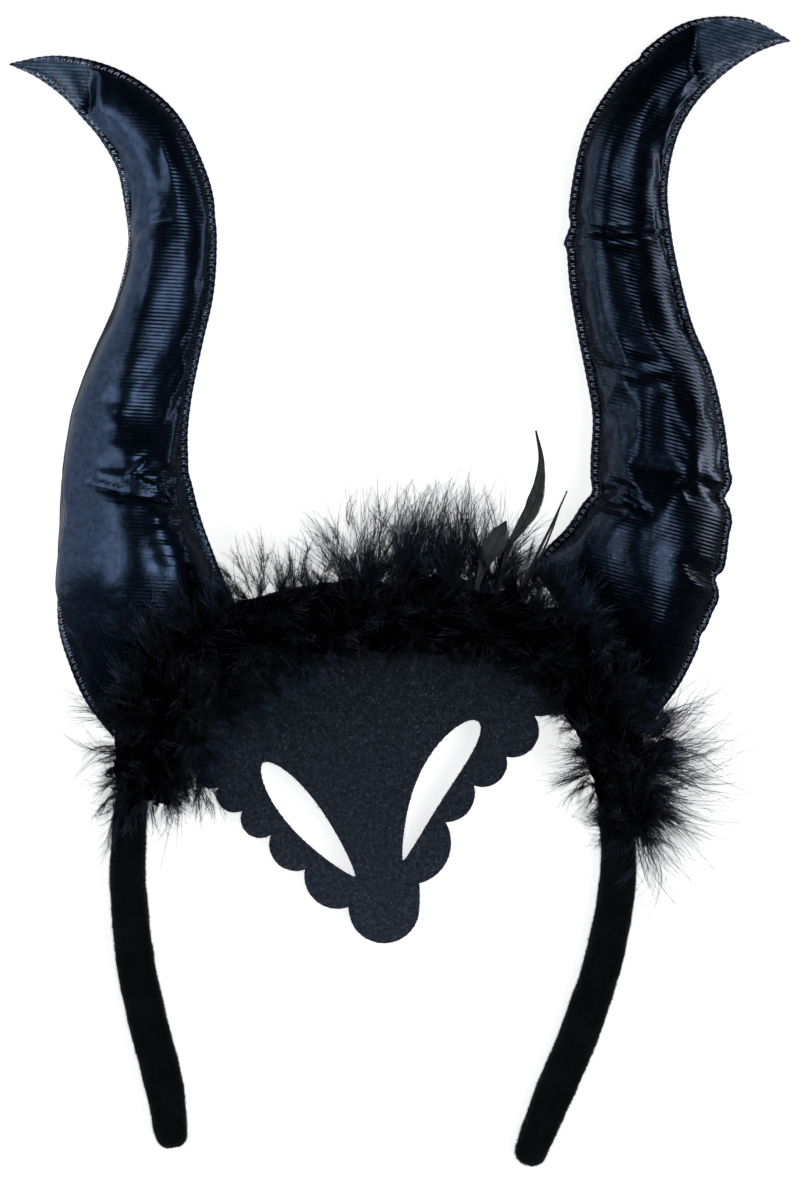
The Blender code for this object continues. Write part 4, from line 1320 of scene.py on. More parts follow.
def barbules(lines, per_barb, settings, source):
    """The fine down on each barb, as slivers that lean towards its tip, and their places."""
    count, steps, _ = lines.shape
    share = 0.92 * source.uniform(0.0, 1.0, (count, per_barb)) ** 1.5
    row = np.minimum((share * (steps - 1)).astype(int), steps - 2)
    part = (share * (steps - 1) - row)[..., None]
    pick = np.arange(count)[:, None]
    near = lines[pick, row]
    far = lines[pick, row + 1]
    roots = near + (far - near) * part
    tangent = unit(far - near)
    aside = unit(np.cross(tangent, source.normal(size=roots.shape)))
    way = unit(tangent * source.uniform(0.5, 1.4, (count, per_barb, 1)) + aside)
    size = settings.barbule_length / MM * source.uniform(0.5, 1.3, (count, per_barb, 1))
    size = size * (1.2 - 0.9 * share[..., None])
    tips = roots + way * size
    tips[..., 2] = np.clip(tips[..., 2], FIBRE_FLOOR, FIBRE_CEILING)
    shape = slivers(roots.reshape(-1, 3), tips.reshape(-1, 3), settings.barbule_width / MM, source)
    return shape, np.repeat(share.ravel(), 3)


def make_plumage(name, plumes, pieces, barbs, per_barb, settings, material):
    """Plumes as several pieces from the boa's left end to its right end."""
    source = np.random.default_rng(settings.seed)
    roots, ways, lengths, sprays = plumes
    steps = settings.barb_steps
    taper = np.linspace(1.0, 0.3, steps + 1)
    made = []
    for number, chosen in enumerate(np.array_split(np.argsort(roots[:, 0]), pieces)):
        grown = []
        for k in chosen:
            grown.append(plume(source, roots[k], ways[k], lengths[k], sprays[k], barbs, settings.fan))
        base, way, length, pull = (np.concatenate(column) for column in zip(*grown))
        lines = grow_lines(base, way, length, pull, source, steps)
        widths = settings.barb_width / MM * source.uniform(0.6, 1.2, (len(base), 1)) * taper
        down, places = barbules(lines, per_barb, settings, source)
        parts = [ribbons(lines, widths, unit(source.normal(size=base.shape))), down]
        tipward = np.concatenate([np.tile(np.repeat(np.linspace(0, 1, steps + 1), 2), len(base)), places])
        made.append(joined_arrays(f"{name}_{number + 1}", parts, material, tipward))
    return made


def make_core(settings, material):
    """The boa's dense middle: its solid form with the locks drawn in, remeshed finely."""
    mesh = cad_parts["feather_trim"].data.copy()
    bm = bmesh.new()
    bm.from_mesh(mesh)
    bmesh.ops.remove_doubles(bm, verts=bm.verts, dist=1e-6)
    shares = np.linspace(0.0, 1.0, 160)
    line = smooth_table(BOA, shares * (len(BOA) - 1))[:, :3]
    _, outward = boa_frame(np.gradient(line, axis=0))
    reach = smooth_table(PLUME_REACH, shares * (len(PLUME_REACH) - 1))
    for vert in bm.verts:
        place = np.array(vert.co) / MM
        nearest = np.linalg.norm(line - place, axis=1).argmin()
        out = place - line[nearest]
        length = max(np.linalg.norm(out), 0.01)
        side = out @ outward[nearest] / length
        sideways = reach[nearest, 2] if side > 0.0 else reach[nearest, 3]
        limit = MASS_FRONT + (sideways - MASS_FRONT) * side * side
        if length > limit:
            vert.co = Vector((line[nearest] + out * (limit / length)) * MM)
    bm.to_mesh(mesh)
    bm.free()
    mesh.materials.clear()
    core = link("marabou_core", mesh, None)
    remesh = core.modifiers.new("Fine skin", "REMESH")
    remesh.mode = "VOXEL"
    remesh.voxel_size = settings.core_voxel
    soften = core.modifiers.new("Soften", "SMOOTH")
    soften.factor = 0.6
    soften.iterations = settings.core_smoothing
    evaluated = core.evaluated_get(bpy.context.evaluated_depsgraph_get())
    final = bpy.data.meshes.new_from_object(evaluated)
    core.modifiers.clear()
    core.data = final
    bpy.data.meshes.remove(mesh)
    final.name = "marabou_core"
    places = read_all(final.vertices, "co", 3)
    normals = read_all(final.vertices, "normal", 3)
    lumps = 1.0 * swell_noise(places / MM, 7.0, 51) + 0.5 * swell_noise(places / MM, 3.0, 52)
    places = places + normals * ((lumps - CORE_SUNK) * MM)[:, None]
    final.vertices.foreach_set("co", places.ravel())
    final.shade_smooth()
    final.materials.append(material)
    return core


def blade_parts(rows, source, barb_pitch):
    """A vaned feather: a tapering quill with a row of close barbs on each side of it."""
    line_count = 40
    positions = np.linspace(0.0, len(rows) - 1.0, line_count)
    fine = smooth_table(rows, positions)
    line = fine[:, :3]
    quill = np.linspace(*QUILL_RADII, line_count)
    parts = [tubes(line[None], quill, 6, np.array([[0.0, 0.0, 1.0]]))]
    count = int(travelled(line)[-1] / barb_pitch)
    places = even_positions(rows, lambda table: table[:, :3], count)
    found = smooth_table(rows, places)
    way = unit(np.gradient(found[:, :3], axis=0))
    side = np.stack([-way[:, 1], way[:, 0], np.zeros(count)], axis=-1)
    half = np.maximum(0.5 * found[:, 3], 0.12)
    for hand in (1.0, -1.0):
        lines = []
        jitter = source.normal(scale=0.05, size=count)
        for share in np.linspace(0.0, 1.0, len(VANE_PROFILE)):
            ahead = half * (0.55 * share + 0.75 * share**2) + jitter * share
            out = hand * half * share * (1.0 - 0.08 * share)
            drop = 0.16 * np.sin(share * math.pi) - 0.28 * share
            lines.append(found[:, :3] + way * ahead[:, None] + side * out[:, None] + [0.0, 0.0, drop])
        lines = np.stack(lines, axis=1)
        widths = np.tile(VANE_PROFILE, (count, 1)) * barb_pitch * 1.5
        facing = np.tile([0.0, 0.0, 1.0], (count, 1)) + source.normal(scale=0.12, size=(count, 3))
        parts.append(ribbons(lines, widths, facing))
    return parts


# Materials


def coated_fabric(horn, settings, film_colour):
    # Foil-coated ribbed polyester: a woven rib under a thin dark metallic film. The film
    # gives broad blue-black highlights that break into bright lines along the ribs. It
    # crackles finely where the fabric bends. On the flat tips it is matte and less metallic,
    # and painted paler, palest on the rib crests: a painted highlight for the light they catch
    material, tree, shader, place = new_material("foil_coated_rib_" + horn.node)
    turn = (0.0, 0.0, math.radians(-horn.rib_turn))
    turned = add(tree, "Mapping", {"Vector": place, "Rotation": turn})
    rib_waves = {
        "Vector": turned,
        "Scale": wave_scale(settings.rib_pitch / MM),
        "Distortion": 0.9,
        "Detail": 2.0,
        "Detail Scale": 0.3,
    }
    ribs = add(tree, "TexWave", rib_waves, "Fac", bands_direction="Y")
    broad = add(tree, "TexNoise", {"Vector": place, "Scale": per_metre(18.0)})
    sockets = {"Vector": place, "Scale": per_metre(1.9), "Detail": 4.0, "Roughness": 0.6}
    crackle = add(tree, "TexNoise", sockets)
    grain = add(tree, "TexNoise", {"Vector": place, "Scale": per_metre(0.5)})
    height = add(tree, "SeparateXYZ", {"Vector": place}, "Y")
    low_down = add(tree, "MapRange", {0: height, 1: 0.03, 2: -0.015, 3: 0.25, 4: 1.0})
    patchy = add(tree, "MapRange", {0: broad, 1: 0.38, 2: 0.62, 3: 0.3, 4: 1.0})
    crinkled = add(tree, "Math", {0: low_down, 1: patchy}, operation="MULTIPLY")
    # The ribs press through the film least on the flanks that face left
    facing = add(tree, "NewGeometry", out="Normal")
    facing = add(tree, "SeparateXYZ", {"Vector": facing}, "X")
    shown = add(tree, "MapRange", {0: facing, 1: -0.3, 2: 0.1, 3: horn.rib_show, 4: 1.0})
    patches = add(tree, "MapRange", {0: broad, 1: 0.4, 2: 0.6, 3: 0.35, 4: 1.0})
    presence = add(tree, "Math", {0: shown, 1: patches}, operation="MULTIPLY")
    relief = {"Height": ribs, "Strength": presence, "Distance": settings.rib_height}
    relief["Normal"] = add(tree, "Bump", relief)
    relief |= {"Height": crackle, "Strength": crinkled, "Distance": 0.26 * MM}
    crackled = add(tree, "Bump", relief)
    relief = {"Height": grain, "Strength": 0.5, "Distance": 0.03 * MM, "Normal": crackled}
    # Mask of the flat tips: matte and less metallic there, and painted paler as a painted highlight
    last = horn.rows[-1]
    tip = (last.outer_x * MM, last.outer_y * MM, last.seam * MM)
    to_tip = add(tree, "VectorMath", {0: place, 1: tip}, "Value", operation="DISTANCE")
    edge = horn.tip_reach * MM
    tip_matte_and_painted_light = add(tree, "MapRange", {0: to_tip, 1: edge + MM, 2: edge - MM, 3: 0.0, 4: 1.0})
    film = ((0.3, linear("#1F2C40")), (0.5, film_colour[:]), (0.75, linear("#34465F")))
    film = add(tree, "ValToRGB", {"Fac": crackle}, stops=film)
    # Painted highlight for the flat tips: paler than the film, palest on the rib crests
    tip_painted_highlight = ((0.1, linear("#33475F")), (0.9, linear("#5F7DA3")))
    tip_painted_highlight = add(tree, "ValToRGB", {"Fac": ribs}, stops=tip_painted_highlight)
    worn = add(tree, "MapRange", {0: crackle, 1: 0.35, 2: 0.65, 3: 0.0, 4: 0.8})
    tip_painted_highlight = add(tree, "Mix", {0: worn, 6: tip_painted_highlight, 7: linear("#27313F")}, 2, data_type="RGBA")
    # On the flat tips the painted highlight colour takes the place of the film's colour
    shade = add(tree, "Mix", {0: tip_matte_and_painted_light, 6: film, 7: tip_painted_highlight}, 2, data_type="RGBA")
    metal = add(tree, "MapRange", {0: tip_matte_and_painted_light, 1: 0.0, 2: 1.0, 3: 0.97, 4: 0.3})
    rough = add(tree, "MapRange", {0: broad, 1: 0.3, 2: 0.7, 3: 0.25, 4: 0.34})
    rough = add(tree, "Math", {0: tip_matte_and_painted_light, 1: 0.2, 2: rough}, operation="MULTIPLY_ADD")
    join(shader, {"Base Color": shade, "Metallic": metal, "Roughness": rough})
    join(shader, {"Normal": add(tree, "Bump", relief), "Coat Normal": crackled})
    join(shader, {"Coat Weight": 0.15, "Coat Roughness": 0.16})
    return material


def stitching_thread(name, colour):
    # Trilobal polyester overlock thread: smooth filaments laid in a twist. The strands that
    # wrap the edge are dull navy. The loops on them are the same thread painted near-white:
    # a painted glint
    material, tree, shader, place = new_material(name)
    twist_waves = {"Vector": place, "Scale": wave_scale(0.42), "Distortion": 2.0}
    twist = add(tree, "TexWave", twist_waves, "Fac", bands_direction="DIAGONAL")
    fade = add(tree, "TexNoise", {"Vector": place, "Scale": per_metre(3.0)})
    faded = add(tree, "MapRange", {0: fade, 1: 0.35, 2: 0.65, 3: 0.0, 4: 0.75})
    shade = add(tree, "Mix", {0: faded, 6: colour[:], 7: linear("#151D29")}, 2, data_type="RGBA")
    between = add(tree, "MapRange", {0: twist, 1: 0.0, 2: 1.0, 3: 0.0, 4: 0.3})
    shade = add(tree, "Mix", {0: between, 6: shade, 7: linear("#0E141D")}, 2, data_type="RGBA")
    ply = add(tree, "Bump", {"Height": twist, "Strength": 0.5, "Distance": 0.05 * MM})
    join(shader, {"Base Color": shade, "Metallic": 0.85, "Roughness": 0.34, "Normal": ply})
    return material


def velour(name, settings):
    # Black polyester velour: a dense upright pile that swallows light, with a faint sheen
    # where it is seen from the side, and patches where the nap leans another way
    material, tree, shader, place = new_material(name)
    pile = add(tree, "TexNoise", {"Vector": place, "Scale": per_metre(0.5)})
    patches = add(tree, "TexNoise", {"Vector": place, "Scale": per_metre(7.0), "Detail": 4.0})
    both = add(tree, "Math", {0: patches, 1: pile}, operation="MULTIPLY")
    stops = (
        (0.12, linear("#020304")),
        (0.27, settings.velour_colour[:]),
        (0.42, linear("#12151C")),
    )
    shade = add(tree, "ValToRGB", {"Fac": both}, stops=stops)
    tooth = add(tree, "Bump", {"Height": pile, "Strength": 0.8, "Distance": 0.25 * MM})
    join(shader, {"Base Color": shade, "Roughness": 0.92, "Normal": tooth})
    join(shader, {"Specular IOR Level": 0.15, "Sheen Weight": 0.12, "Sheen Roughness": 0.45})
    join(shader, {"Sheen Tint": linear("#8C97A8")})
    return material


def wool_felt(name, settings, light):
    # Pressed craft felt: matted fibres in charcoal, with paler fibres scattered through
    # them that show as specks. It is painted darker up towards the band, a painted shade
    # where the boa hangs over it, and so is palest down at the lobe
    material, tree, shader, place = new_material(name)
    sockets = {"Vector": place, "Scale": per_metre(1.1), "Detail": 6.0, "Roughness": 0.7}
    mat = add(tree, "TexNoise", sockets)
    patches = add(tree, "TexNoise", {"Vector": place, "Scale": per_metre(14.0), "Detail": 3.0})
    sockets = {"Vector": place, "Scale": per_metre(0.75), "Detail": 1.0, "Distortion": 1.5}
    specks = add(tree, "TexNoise", sockets)
    stops = (
        (0.3, linear("#191F29")),
        (0.5, settings.felt_colour[:]),
        (0.72, linear("#485365")),
    )
    matted = add(tree, "ValToRGB", {"Fac": mat}, stops=stops)
    # Painted shade: up towards the band the felt is mixed with near-black, where the boa shades it
    height = add(tree, "SeparateXYZ", {"Vector": place}, "Y")
    shown = add(tree, "MapRange", {0: height, 1: -0.025, 2: -0.09, 3: 0.4, 4: 1.0})
    base = add(tree, "Mix", {0: shown, 6: linear("#0A0C10"), 7: matted}, 2, data_type="RGBA")
    stops = ((0.58, linear("#000000")), (0.7, linear(light)))
    speck = add(tree, "ValToRGB", {"Fac": specks}, stops=stops)
    sockets = {0: patches, 6: base, 7: speck}
    shade = add(tree, "Mix", sockets, 2, data_type="RGBA", blend_type="ADD")
    tooth = add(tree, "Bump", {"Height": mat, "Strength": 0.9, "Distance": 0.3 * MM})
    join(shader, {"Base Color": shade, "Roughness": 0.95, "Normal": tooth})
    join(shader, {"Specular IOR Level": 0.12, "Sheen Weight": 0.08, "Sheen Roughness": 0.5})
    return material


def marabou_down(name, deep, middle, pale):
    # Dyed marabou down: fine soft barbs that take the dye well near the quill and thinly
    # towards their tips, so they are paler there. That paleness is partly their thinner dye
    # and partly painted light for the light that comes through the thin barbs. In a mass
    # they look black with blue-grey strands over it
    material, tree, shader, place = new_material(name)
    tipward = add(tree, "Attribute", out="Fac", attribute_name="tipward")
    tone = add(tree, "TexNoise", {"Vector": place, "Scale": per_metre(5.0), "Detail": 3.0})
    tone = add(tree, "MapRange", {0: tone, 1: 0.4, 2: 0.62, 3: 0.25, 4: 1.0})
    # Paler towards the tips: partly thinner dye, partly painted light coming through the barbs
    paler = add(tree, "Math", {0: tipward, 1: tone}, operation="MULTIPLY")
    stops = ((0.1, linear(deep)), (0.5, linear(middle)), (0.9, linear(pale)))
    shade = add(tree, "ValToRGB", {"Fac": paler}, stops=stops)
    join(shader, {"Base Color": shade, "Roughness": 0.6, "Specular IOR Level": 0.2})
    return material


def marabou_mass_painted_shade():
    # The boa's dense middle, painted near-black: a painted shade for down that lies so thick that hardly
    # any light comes out
    material, tree, shader, place = new_material("marabou_down_mass_painted_shade")
    tone = add(tree, "TexNoise", {"Vector": place, "Scale": per_metre(4.0), "Detail": 4.0})
    stops = ((0.4, linear("#000101")), (0.7, linear("#030406")))
    shade = add(tree, "ValToRGB", {"Fac": tone}, stops=stops)
    join(shader, {"Base Color": shade, "Roughness": 0.9, "Specular IOR Level": 0.0})
    return material


def blade_vane(settings):
    # Dyed cock feather: close flat barbs with a dull silky gloss along the quill
    material, tree, shader, place = new_material("dyed_cock_feather")
    sockets = {"Vector": place, "Scale": per_metre(2.2), "Detail": 4.0, "Roughness": 0.6}
    streak = add(tree, "TexNoise", sockets)
    stops = ((0.35, linear("#0B0D10")), (0.7, settings.vane_colour[:]))
    shade = add(tree, "ValToRGB", {"Fac": streak}, stops=stops)
    rough = add(tree, "MapRange", {0: streak, 1: 0.0, 2: 1.0, 3: 0.42, 4: 0.6})
    join(shader, {"Base Color": shade, "Roughness": rough, "Specular IOR Level": 0.5})
    return material


def studio_paper():
    # Seamless white background paper: matt and nearly white, with a faint tooth
    material, tree, shader, place = new_material("white_background_paper")
    tooth = add(tree, "TexNoise", {"Vector": place, "Scale": per_metre(1.5)})
    stops = ((0.3, linear("#F2F3F5")), (0.7, linear("#F8F9FA")))
    shade = add(tree, "ValToRGB", {"Fac": tooth}, stops=stops)
    join(shader, {"Base Color": shade, "Roughness": 0.9})
    join(shader, {"Emission Color": linear("#FFFFFF"), "Emission Strength": 0.78})
    return material


# Settings


def number_setting(label, about, default, **more):
    return FloatProperty(name=label, description=about, default=default, **more)


def length_setting(label, about, metres):
    return number_setting(label, about, metres, unit="LENGTH", precision=5)


def power_setting(label, about, watts):
    return number_setting(label, about, watts, unit="POWER")


def angle_setting(label, about, degrees):
    return number_setting(label, about, math.radians(degrees), subtype="ANGLE")


def count_setting(label, about, default, low=1, high=1000000):
    return IntProperty(name=label, description=about, default=default, min=low, max=high)


def paint_setting(label, about, hex_colour):
    shade = linear(hex_colour)
    return FloatVectorProperty(name=label, description=about, default=shade, size=4, subtype="COLOR")


class HornSettings(bpy.types.PropertyGroup):
    rings: count_setting("Rings", "Rows of faces along each horn", 221, 41, 401)
    front_points: count_setting("Front points", "Points across a horn's front", 72, 24, 120)
    back_points: count_setting("Back points", "Points across a horn's back", 32, 16, 90)
    extra_fabric: number_setting(
        "Extra fabric",
        "How much larger the panels are cut than the form they fill",
        0.008,
        min=0.0,
        max=0.2,
        subtype="FACTOR",
    )
    pressure: number_setting("Padding pressure", "How hard the padding pushes", 3.0, min=0.0)
    padding_cap: length_setting("Padding cap", "The farthest that the padding may push a point", 0.0008)
    lump_height: length_setting("Lump height", "Height of the padding's lumps", 0.0002)
    pucker_height: length_setting("Pucker height", "Height of the gathers along the seams", 0.00007)
    rib_pitch: length_setting("Rib pitch", "Distance from one woven rib to the next", 0.00105)
    rib_height: length_setting("Rib height", "Height of the woven ribs", 0.00009)
    # One fabric covers both horns. The right horn's film is painted darker than the left's: a painted
    # shade
    left_film: paint_setting("Left film", "Colour of the metallic film on the left horn", "#2B3B53")
    right_film_painted_shade: paint_setting("Right film", "Colour of the metallic film on the right horn", "#1B2637")


class StitchSettings(bpy.types.PropertyGroup):
    stitch_pitch: length_setting("Stitch pitch", "Distance from one overlock loop to the next", 0.0020)
    thread_radius: length_setting("Thread radius", "Half the thickness of the sewing thread", 0.00020)
    # The loops are the same navy thread. Their near-white colour is a painted glint
    loop_painted_glint_colour: paint_setting("Bright thread", "Colour of the overlock's loops", "#DCE6FA")
    dull_colour: paint_setting("Dull thread", "Colour of the strands round the seam's edge", "#33425A")


class BandSettings(bpy.types.PropertyGroup):
    rings: count_setting("Rings", "Rows of faces along the band", 260)
    pile_fibres: count_setting("Pile fibres", "How many fibres the velour shows", 56000)
    pile_length: length_setting("Pile length", "Length of the velour's fibres", 0.00075)
    velour_colour: paint_setting("Velour colour", "Colour of the band's velour", "#07090D")


class BrowSettings(bpy.types.PropertyGroup):
    grid: length_setting("Grid", "Size of the felt's faces", 0.003)
    fibres: count_setting("Fibres", "How many loose fibres lie on the felt", 26000)
    fibre_length: length_setting("Fibre length", "Length of the felt's loose fibres", 0.0011)
    felt_colour: paint_setting("Felt colour", "Main colour of the felt", "#2F3846")


class FeatherSettings(bpy.types.PropertyGroup):
    seed: count_setting("Seed", "Seed of the feathers' random draws", 17)
    cover_plumes: count_setting("Cover plumes", "Plumes all along the boa", 640)
    cover_barbs: count_setting("Cover barbs", "Barbs of each cover plume", 14)
    cover_barbules: count_setting("Cover barbules", "Fine fibres on each cover barb", 14)
    tuft_barbs: count_setting("Tuft barbs", "Barbs of each tuft's plume", 16)
    tuft_barbules: count_setting("Tuft barbules", "Fine fibres on each tuft barb", 26)
    fan: angle_setting("Fan", "How far a plume's barbs open to each side", 36.0)
    barb_steps: count_setting("Barb steps", "Bends along one barb", 6)
    barb_width: length_setting("Barb width", "Width of a barb at its root", 0.00019)
    barbule_length: length_setting("Barbule length", "Length of the fine fibres on a barb", 0.0018)
    barbule_width: length_setting("Barbule width", "Width of the fine fibres on a barb", 0.00006)
    core_voxel: length_setting("Core voxel", "Fineness of the boa's dense middle", 0.0013)
    core_smoothing: count_setting("Core smoothing", "How far the middle's locks are softened", 8)
    vane_pitch: length_setting("Vane pitch", "Distance between the blade feathers' barbs", 0.00036)
    vane_colour: paint_setting("Vane colour", "Colour of the blade feathers", "#2A2F33")


class StageSettings(bpy.types.PropertyGroup):
    camera_distance: length_setting("Camera distance", "From the camera to the subject height", 3.0)
    subject_height: length_setting("Subject height", "Height where the photograph's scale holds", 0.015)
    light_distance: length_setting("Light distance", "Distance of the strip lights", 1.0)
    left_angle: angle_setting("Left angle", "Angle of the left strip light from the zenith", 43.0)
    right_angle: angle_setting("Right angle", "Angle of the right strip light from the zenith", 23.0)
    left_power: power_setting("Left power", "Power of the left strip light", 2.5)
    right_power: power_setting("Right power", "Power of the right strip light", 4.2)
    strip_width: length_setting("Strip width", "Width of the strip lights", 0.45)
    card_distance: length_setting("Card distance", "How far to each side the pale cards stand", 0.165)
    left_card_power: power_setting("Left card power", "Power of the left pale card", 0.13)
    right_card_power: power_setting("Right card power", "Power of the right pale card", 0.07)
    floor_size: length_setting("Floor size", "Side of the paper floor", 24.0)


# Operators


def settle(piece, slot_name, *nodes):
    """Makes a piece ride on the one body and hides what it stands for. The slot name is not used."""
    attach(piece, "root")
    if nodes:
        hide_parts(*nodes)


class HEADPIECE_OT_stage(bpy.types.Operator):
    """Add the paper floor, the strip lights, the dim room and the camera"""

    bl_idname = "headpiece.stage"
    bl_label = "Stage"

    def execute(self, context):
        settings = context.scene.headpiece_stage
        bm = bmesh.new()
        bmesh.ops.create_grid(bm, x_segments=8, y_segments=8, size=0.5 * settings.floor_size / MM)
        bmesh.ops.translate(bm, vec=(0.0, 0.0, -0.2), verts=bm.verts)
        floor = object_from(bm, "paper_floor", studio_paper())
        floor.visible_glossy = False
        far = settings.light_distance
        for name, angle, power in (
            ("left_strip", -settings.left_angle, settings.left_power),
            ("right_strip", settings.right_angle, settings.right_power),
        ):
            shift = 0.0 if angle < 0.0 else -0.2
            place = (far * math.sin(angle), shift, far * math.cos(angle))
            self.add_lamp(context, name, (settings.strip_width, 0.95), power, place, angle)
        # Cards that stand beside the horns and reach below the floor, where no lamp shines
        # on anything but a horn's own turned-down flank
        side = settings.card_distance
        for name, size, power, x, z in (
            ("left_card", (0.18, 0.27), settings.left_card_power, -side, 0.0),
            ("right_card", (0.03, 0.2), settings.right_card_power, side, -0.015),
        ):
            place = (x, 0.12, z)
            self.add_lamp(context, name, size, power, place, math.copysign(0.5 * math.pi, x))
        self.add_room(context.scene)
        self.add_camera(context.scene, settings)
        context.scene.view_settings.view_transform = "Standard"
        return {"FINISHED"}

    def add_lamp(self, context, name, size, power, place, angle):
        """An oblong lamp, turned about Y, that the camera doesn't see."""
        lamp = bpy.data.lights.new(name, "AREA")
        lamp.shape = "RECTANGLE"
        lamp.size, lamp.size_y = size
        lamp.energy = power
        light = bpy.data.objects.new(name, lamp)
        light.location = place
        light.rotation_euler = (0.0, angle, 0.0)
        light.visible_camera = False
        context.scene.collection.objects.link(light)

    def add_room(self, scene):
        """Faint light from all round, with more from the left and from low down."""
        world = bpy.data.worlds.new("soft_room")
        world.use_nodes = True
        tree = world.node_tree
        way = add(tree, "TexCoord", out="Generated")
        across = add(tree, "SeparateXYZ", {"Vector": way}, "X")
        height = add(tree, "SeparateXYZ", {"Vector": way}, "Z")
        wall = add(tree, "MapRange", {0: across, 1: -0.6, 2: -0.85, 3: 0.02, 4: 0.06})
        low = add(tree, "MapRange", {0: height, 1: 0.5, 2: 0.05, 3: 0.0, 4: 0.03})
        under = add(tree, "MapRange", {0: height, 1: 0.0, 2: -0.1, 3: 0.0, 4: 0.02})
        low = add(tree, "Math", {0: low, 1: under}, operation="ADD")
        lit = add(tree, "Math", {0: wall, 1: low}, operation="ADD")
        join(tree.nodes["Background"], {"Color": linear("#F6F8FF"), "Strength": lit})
        scene.world = world

    def add_camera(self, scene, settings):
        """Straight down on the front, framing the photograph's 800 by 1179 pixels."""
        camera = bpy.data.cameras.new("photo_camera")
        obj = bpy.data.objects.new("photo_camera", camera)
        field = PHOTO_HEIGHT / PIXELS_PER_MM * MM
        middle_y = (ORIGIN_PIXEL_Y - 0.5 * PHOTO_HEIGHT) / PIXELS_PER_MM * MM
        camera.sensor_width = 36.0
        camera.lens = camera.sensor_width * settings.camera_distance / field
        camera.clip_end = 50.0
        obj.location = (0.0, middle_y, settings.camera_distance + settings.subject_height)
        scene.collection.objects.link(obj)
        scene.camera = obj


class HEADPIECE_OT_horns(bpy.types.Operator):
    """Make the two stuffed horns and the overlock stitches along their seams"""

    bl_idname = "headpiece.horns"
    bl_label = "Horns"

    def execute(self, context):
        settings = context.scene.headpiece_horns
        stitches = context.scene.headpiece_stitches
        dull = stitching_thread("dull_polyester_thread", stitches.dull_colour)
        # The same thread in near-white for the loops: a painted glint
        bright = stitching_thread("polyester_thread_painted_glint", stitches.loop_painted_glint_colour)
        for horn in (LEFT_HORN, RIGHT_HORN):
            # The right horn's darker film colour is a painted shade
            colour = settings.left_film if horn is LEFT_HORN else settings.right_film_painted_shade
            fabric = coated_fabric(horn, settings, colour)
            skin, outer, inner = make_horn(horn, settings, fabric)
            settle(skin, "coated_fabric", horn.node)
            outer_wrapped, outer_loops = overlock(outer, stitches)
            inner_wrapped, inner_loops = overlock(inner, stitches)
            wrapped = joined_arrays(horn.node + "_overlock", outer_wrapped + inner_wrapped, dull)
            settle(wrapped, "coated_fabric")
            loops = joined_arrays(horn.node + "_overlock_loops", outer_loops + inner_loops, bright)
            settle(loops, "coated_fabric")
        return {"FINISHED"}


class HEADPIECE_OT_band(bpy.types.Operator):
    """Make the padded velour band and its pile"""

    bl_idname = "headpiece.band"
    bl_label = "Band"

    def execute(self, context):
        settings = context.scene.headpiece_band
        band, points, normals = make_band(settings, velour("black_polyester_velour", settings))
        settle(band, "velour", "headband")
        pile = make_pile(points, normals, settings, velour("black_velour_pile", settings))
        settle(pile, "velour")
        return {"FINISHED"}


class HEADPIECE_OT_brow(bpy.types.Operator):
    """Make the scalloped felt brow piece and its loose fibres"""

    bl_idname = "headpiece.brow"
    bl_label = "Felt brow piece"

    def execute(self, context):
        settings = context.scene.headpiece_brow
        felt = make_brow(settings, wool_felt("charcoal_pressed_felt", settings, "#56626F"))
        settle(felt, "felt", "brow_felt")
        fibres = make_felt_fibres(felt, settings, wool_felt("felt_loose_fibres", settings, "#46525F"))
        settle(fibres, "felt")
        return {"FINISHED"}


class HEADPIECE_OT_marabou(bpy.types.Operator):
    """Make the marabou boa: its dense middle and its plumes"""

    bl_idname = "headpiece.marabou"
    bl_label = "Marabou boa"

    def execute(self, context):
        settings = context.scene.headpiece_feathers
        settle(make_core(settings, marabou_mass_painted_shade()), "down", "feather_trim")
        source = np.random.default_rng(settings.seed)
        cover = cover_plumes(source, settings.cover_plumes)
        tufts = tuft_plumes(source)
        # The same down in darker colours for the cover plumes, which lie in the boa's mass: a painted
        # shade
        near = marabou_down("marabou_down_cover_painted_shade", "#020305", "#161D27", "#46546A")
        loose = marabou_down("marabou_down_tufts", "#0B1017", "#27344A", "#4C5F7C")
        counts = (settings.cover_barbs, settings.cover_barbules)
        pieces = make_plumage("marabou_cover", cover, 3, *counts, settings, near)
        counts = (settings.tuft_barbs, settings.tuft_barbules)
        pieces += make_plumage("marabou_tufts", tufts, 3, *counts, settings, loose)
        for piece in pieces:
            settle(piece, "down")
        return {"FINISHED"}


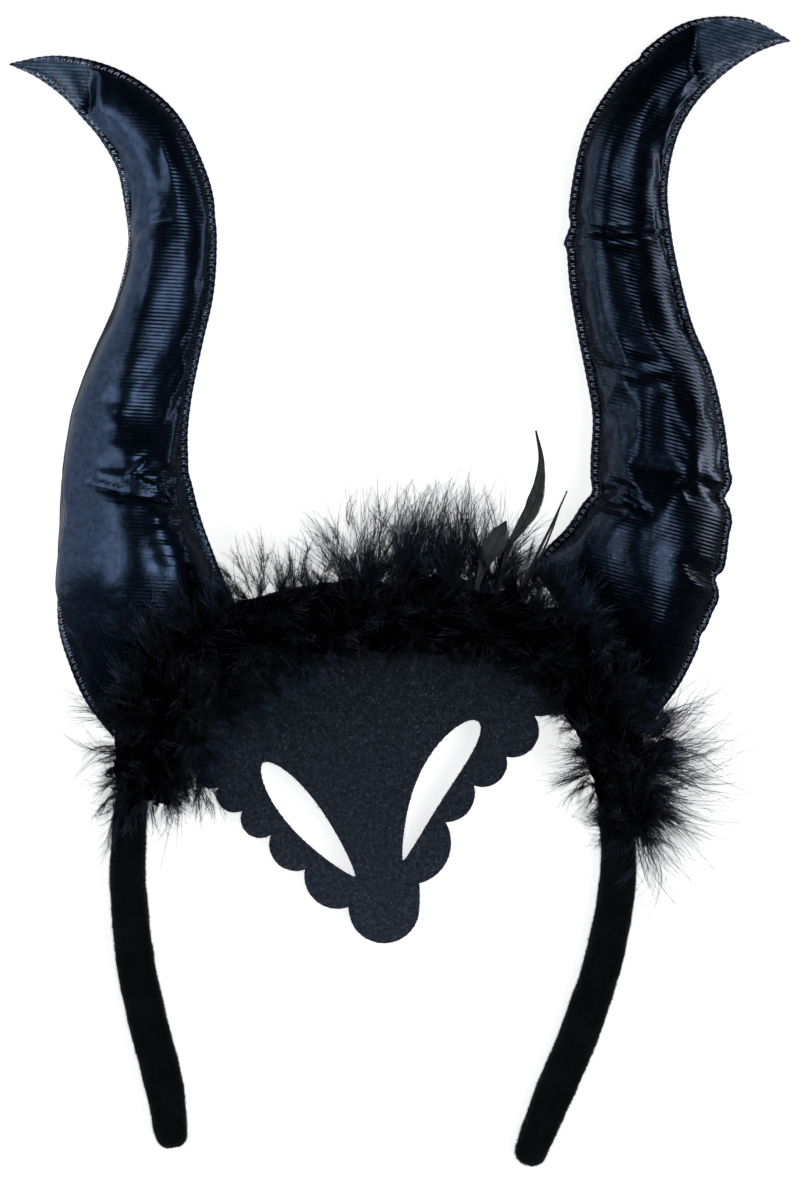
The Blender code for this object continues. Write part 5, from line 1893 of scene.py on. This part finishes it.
class HEADPIECE_OT_blades(bpy.types.Operator):
    """Make the two blade feathers and the thin spikes beside them"""

    bl_idname = "headpiece.blades"
    bl_label = "Blade feathers"

    def execute(self, context):
        settings = context.scene.headpiece_feathers
        source = np.random.default_rng(61)
        vane = blade_vane(settings)
        pitch = settings.vane_pitch / MM
        blades = (
            ("blade_feather_long", LONG_BLADE),
            ("blade_feather_short", SHORT_BLADE),
        )
        for node, rows in blades:
            piece = joined_arrays(node + "_vane", blade_parts(rows, source, pitch), vane)
            settle(piece, "feather", node)
        parts = []
        for rows in SPIKES:
            parts += blade_parts(rows, source, pitch)
        settle(joined_arrays("spike_feathers", parts, vane), "feather")
        return {"FINISHED"}


class HEADPIECE_PT_sidebar(bpy.types.Panel):
    """Lists the operators and the sizes and colours they use"""

    bl_idname = "HEADPIECE_PT_sidebar"
    bl_label = "Headpiece"
    bl_space_type = "VIEW_3D"
    bl_region_type = "UI"
    bl_category = "Headpiece"

    def draw(self, context):
        for operator in OPERATORS:
            self.layout.operator(operator.bl_idname)
        for name, group in SETTINGS:
            box = self.layout.box()
            box.label(text=group.__name__)
            settings = getattr(context.scene, name)
            for key in group.__annotations__:
                box.prop(settings, key)


SETTINGS = (
    ("headpiece_horns", HornSettings),
    ("headpiece_stitches", StitchSettings),
    ("headpiece_band", BandSettings),
    ("headpiece_brow", BrowSettings),
    ("headpiece_feathers", FeatherSettings),
    ("headpiece_stage", StageSettings),
)
OPERATORS = (
    HEADPIECE_OT_stage,
    HEADPIECE_OT_horns,
    HEADPIECE_OT_band,
    HEADPIECE_OT_brow,
    HEADPIECE_OT_marabou,
    HEADPIECE_OT_blades,
)


def register():
    for name, group in SETTINGS:
        bpy.utils.register_class(group)
        setattr(bpy.types.Scene, name, PointerProperty(type=group))
    for operator in OPERATORS:
        bpy.utils.register_class(operator)
    bpy.utils.register_class(HEADPIECE_PT_sidebar)


def unregister():
    bpy.utils.unregister_class(HEADPIECE_PT_sidebar)
    for operator in reversed(OPERATORS):
        bpy.utils.unregister_class(operator)
    for name, group in reversed(SETTINGS):
        delattr(bpy.types.Scene, name)
        bpy.utils.unregister_class(group)


def main():
    register()
    bpy.ops.headpiece.stage()
    bpy.ops.headpiece.horns()
    bpy.ops.headpiece.band()
    bpy.ops.headpiece.brow()
    bpy.ops.headpiece.marabou()
    bpy.ops.headpiece.blades()


if __name__ == "__main__":
    main()
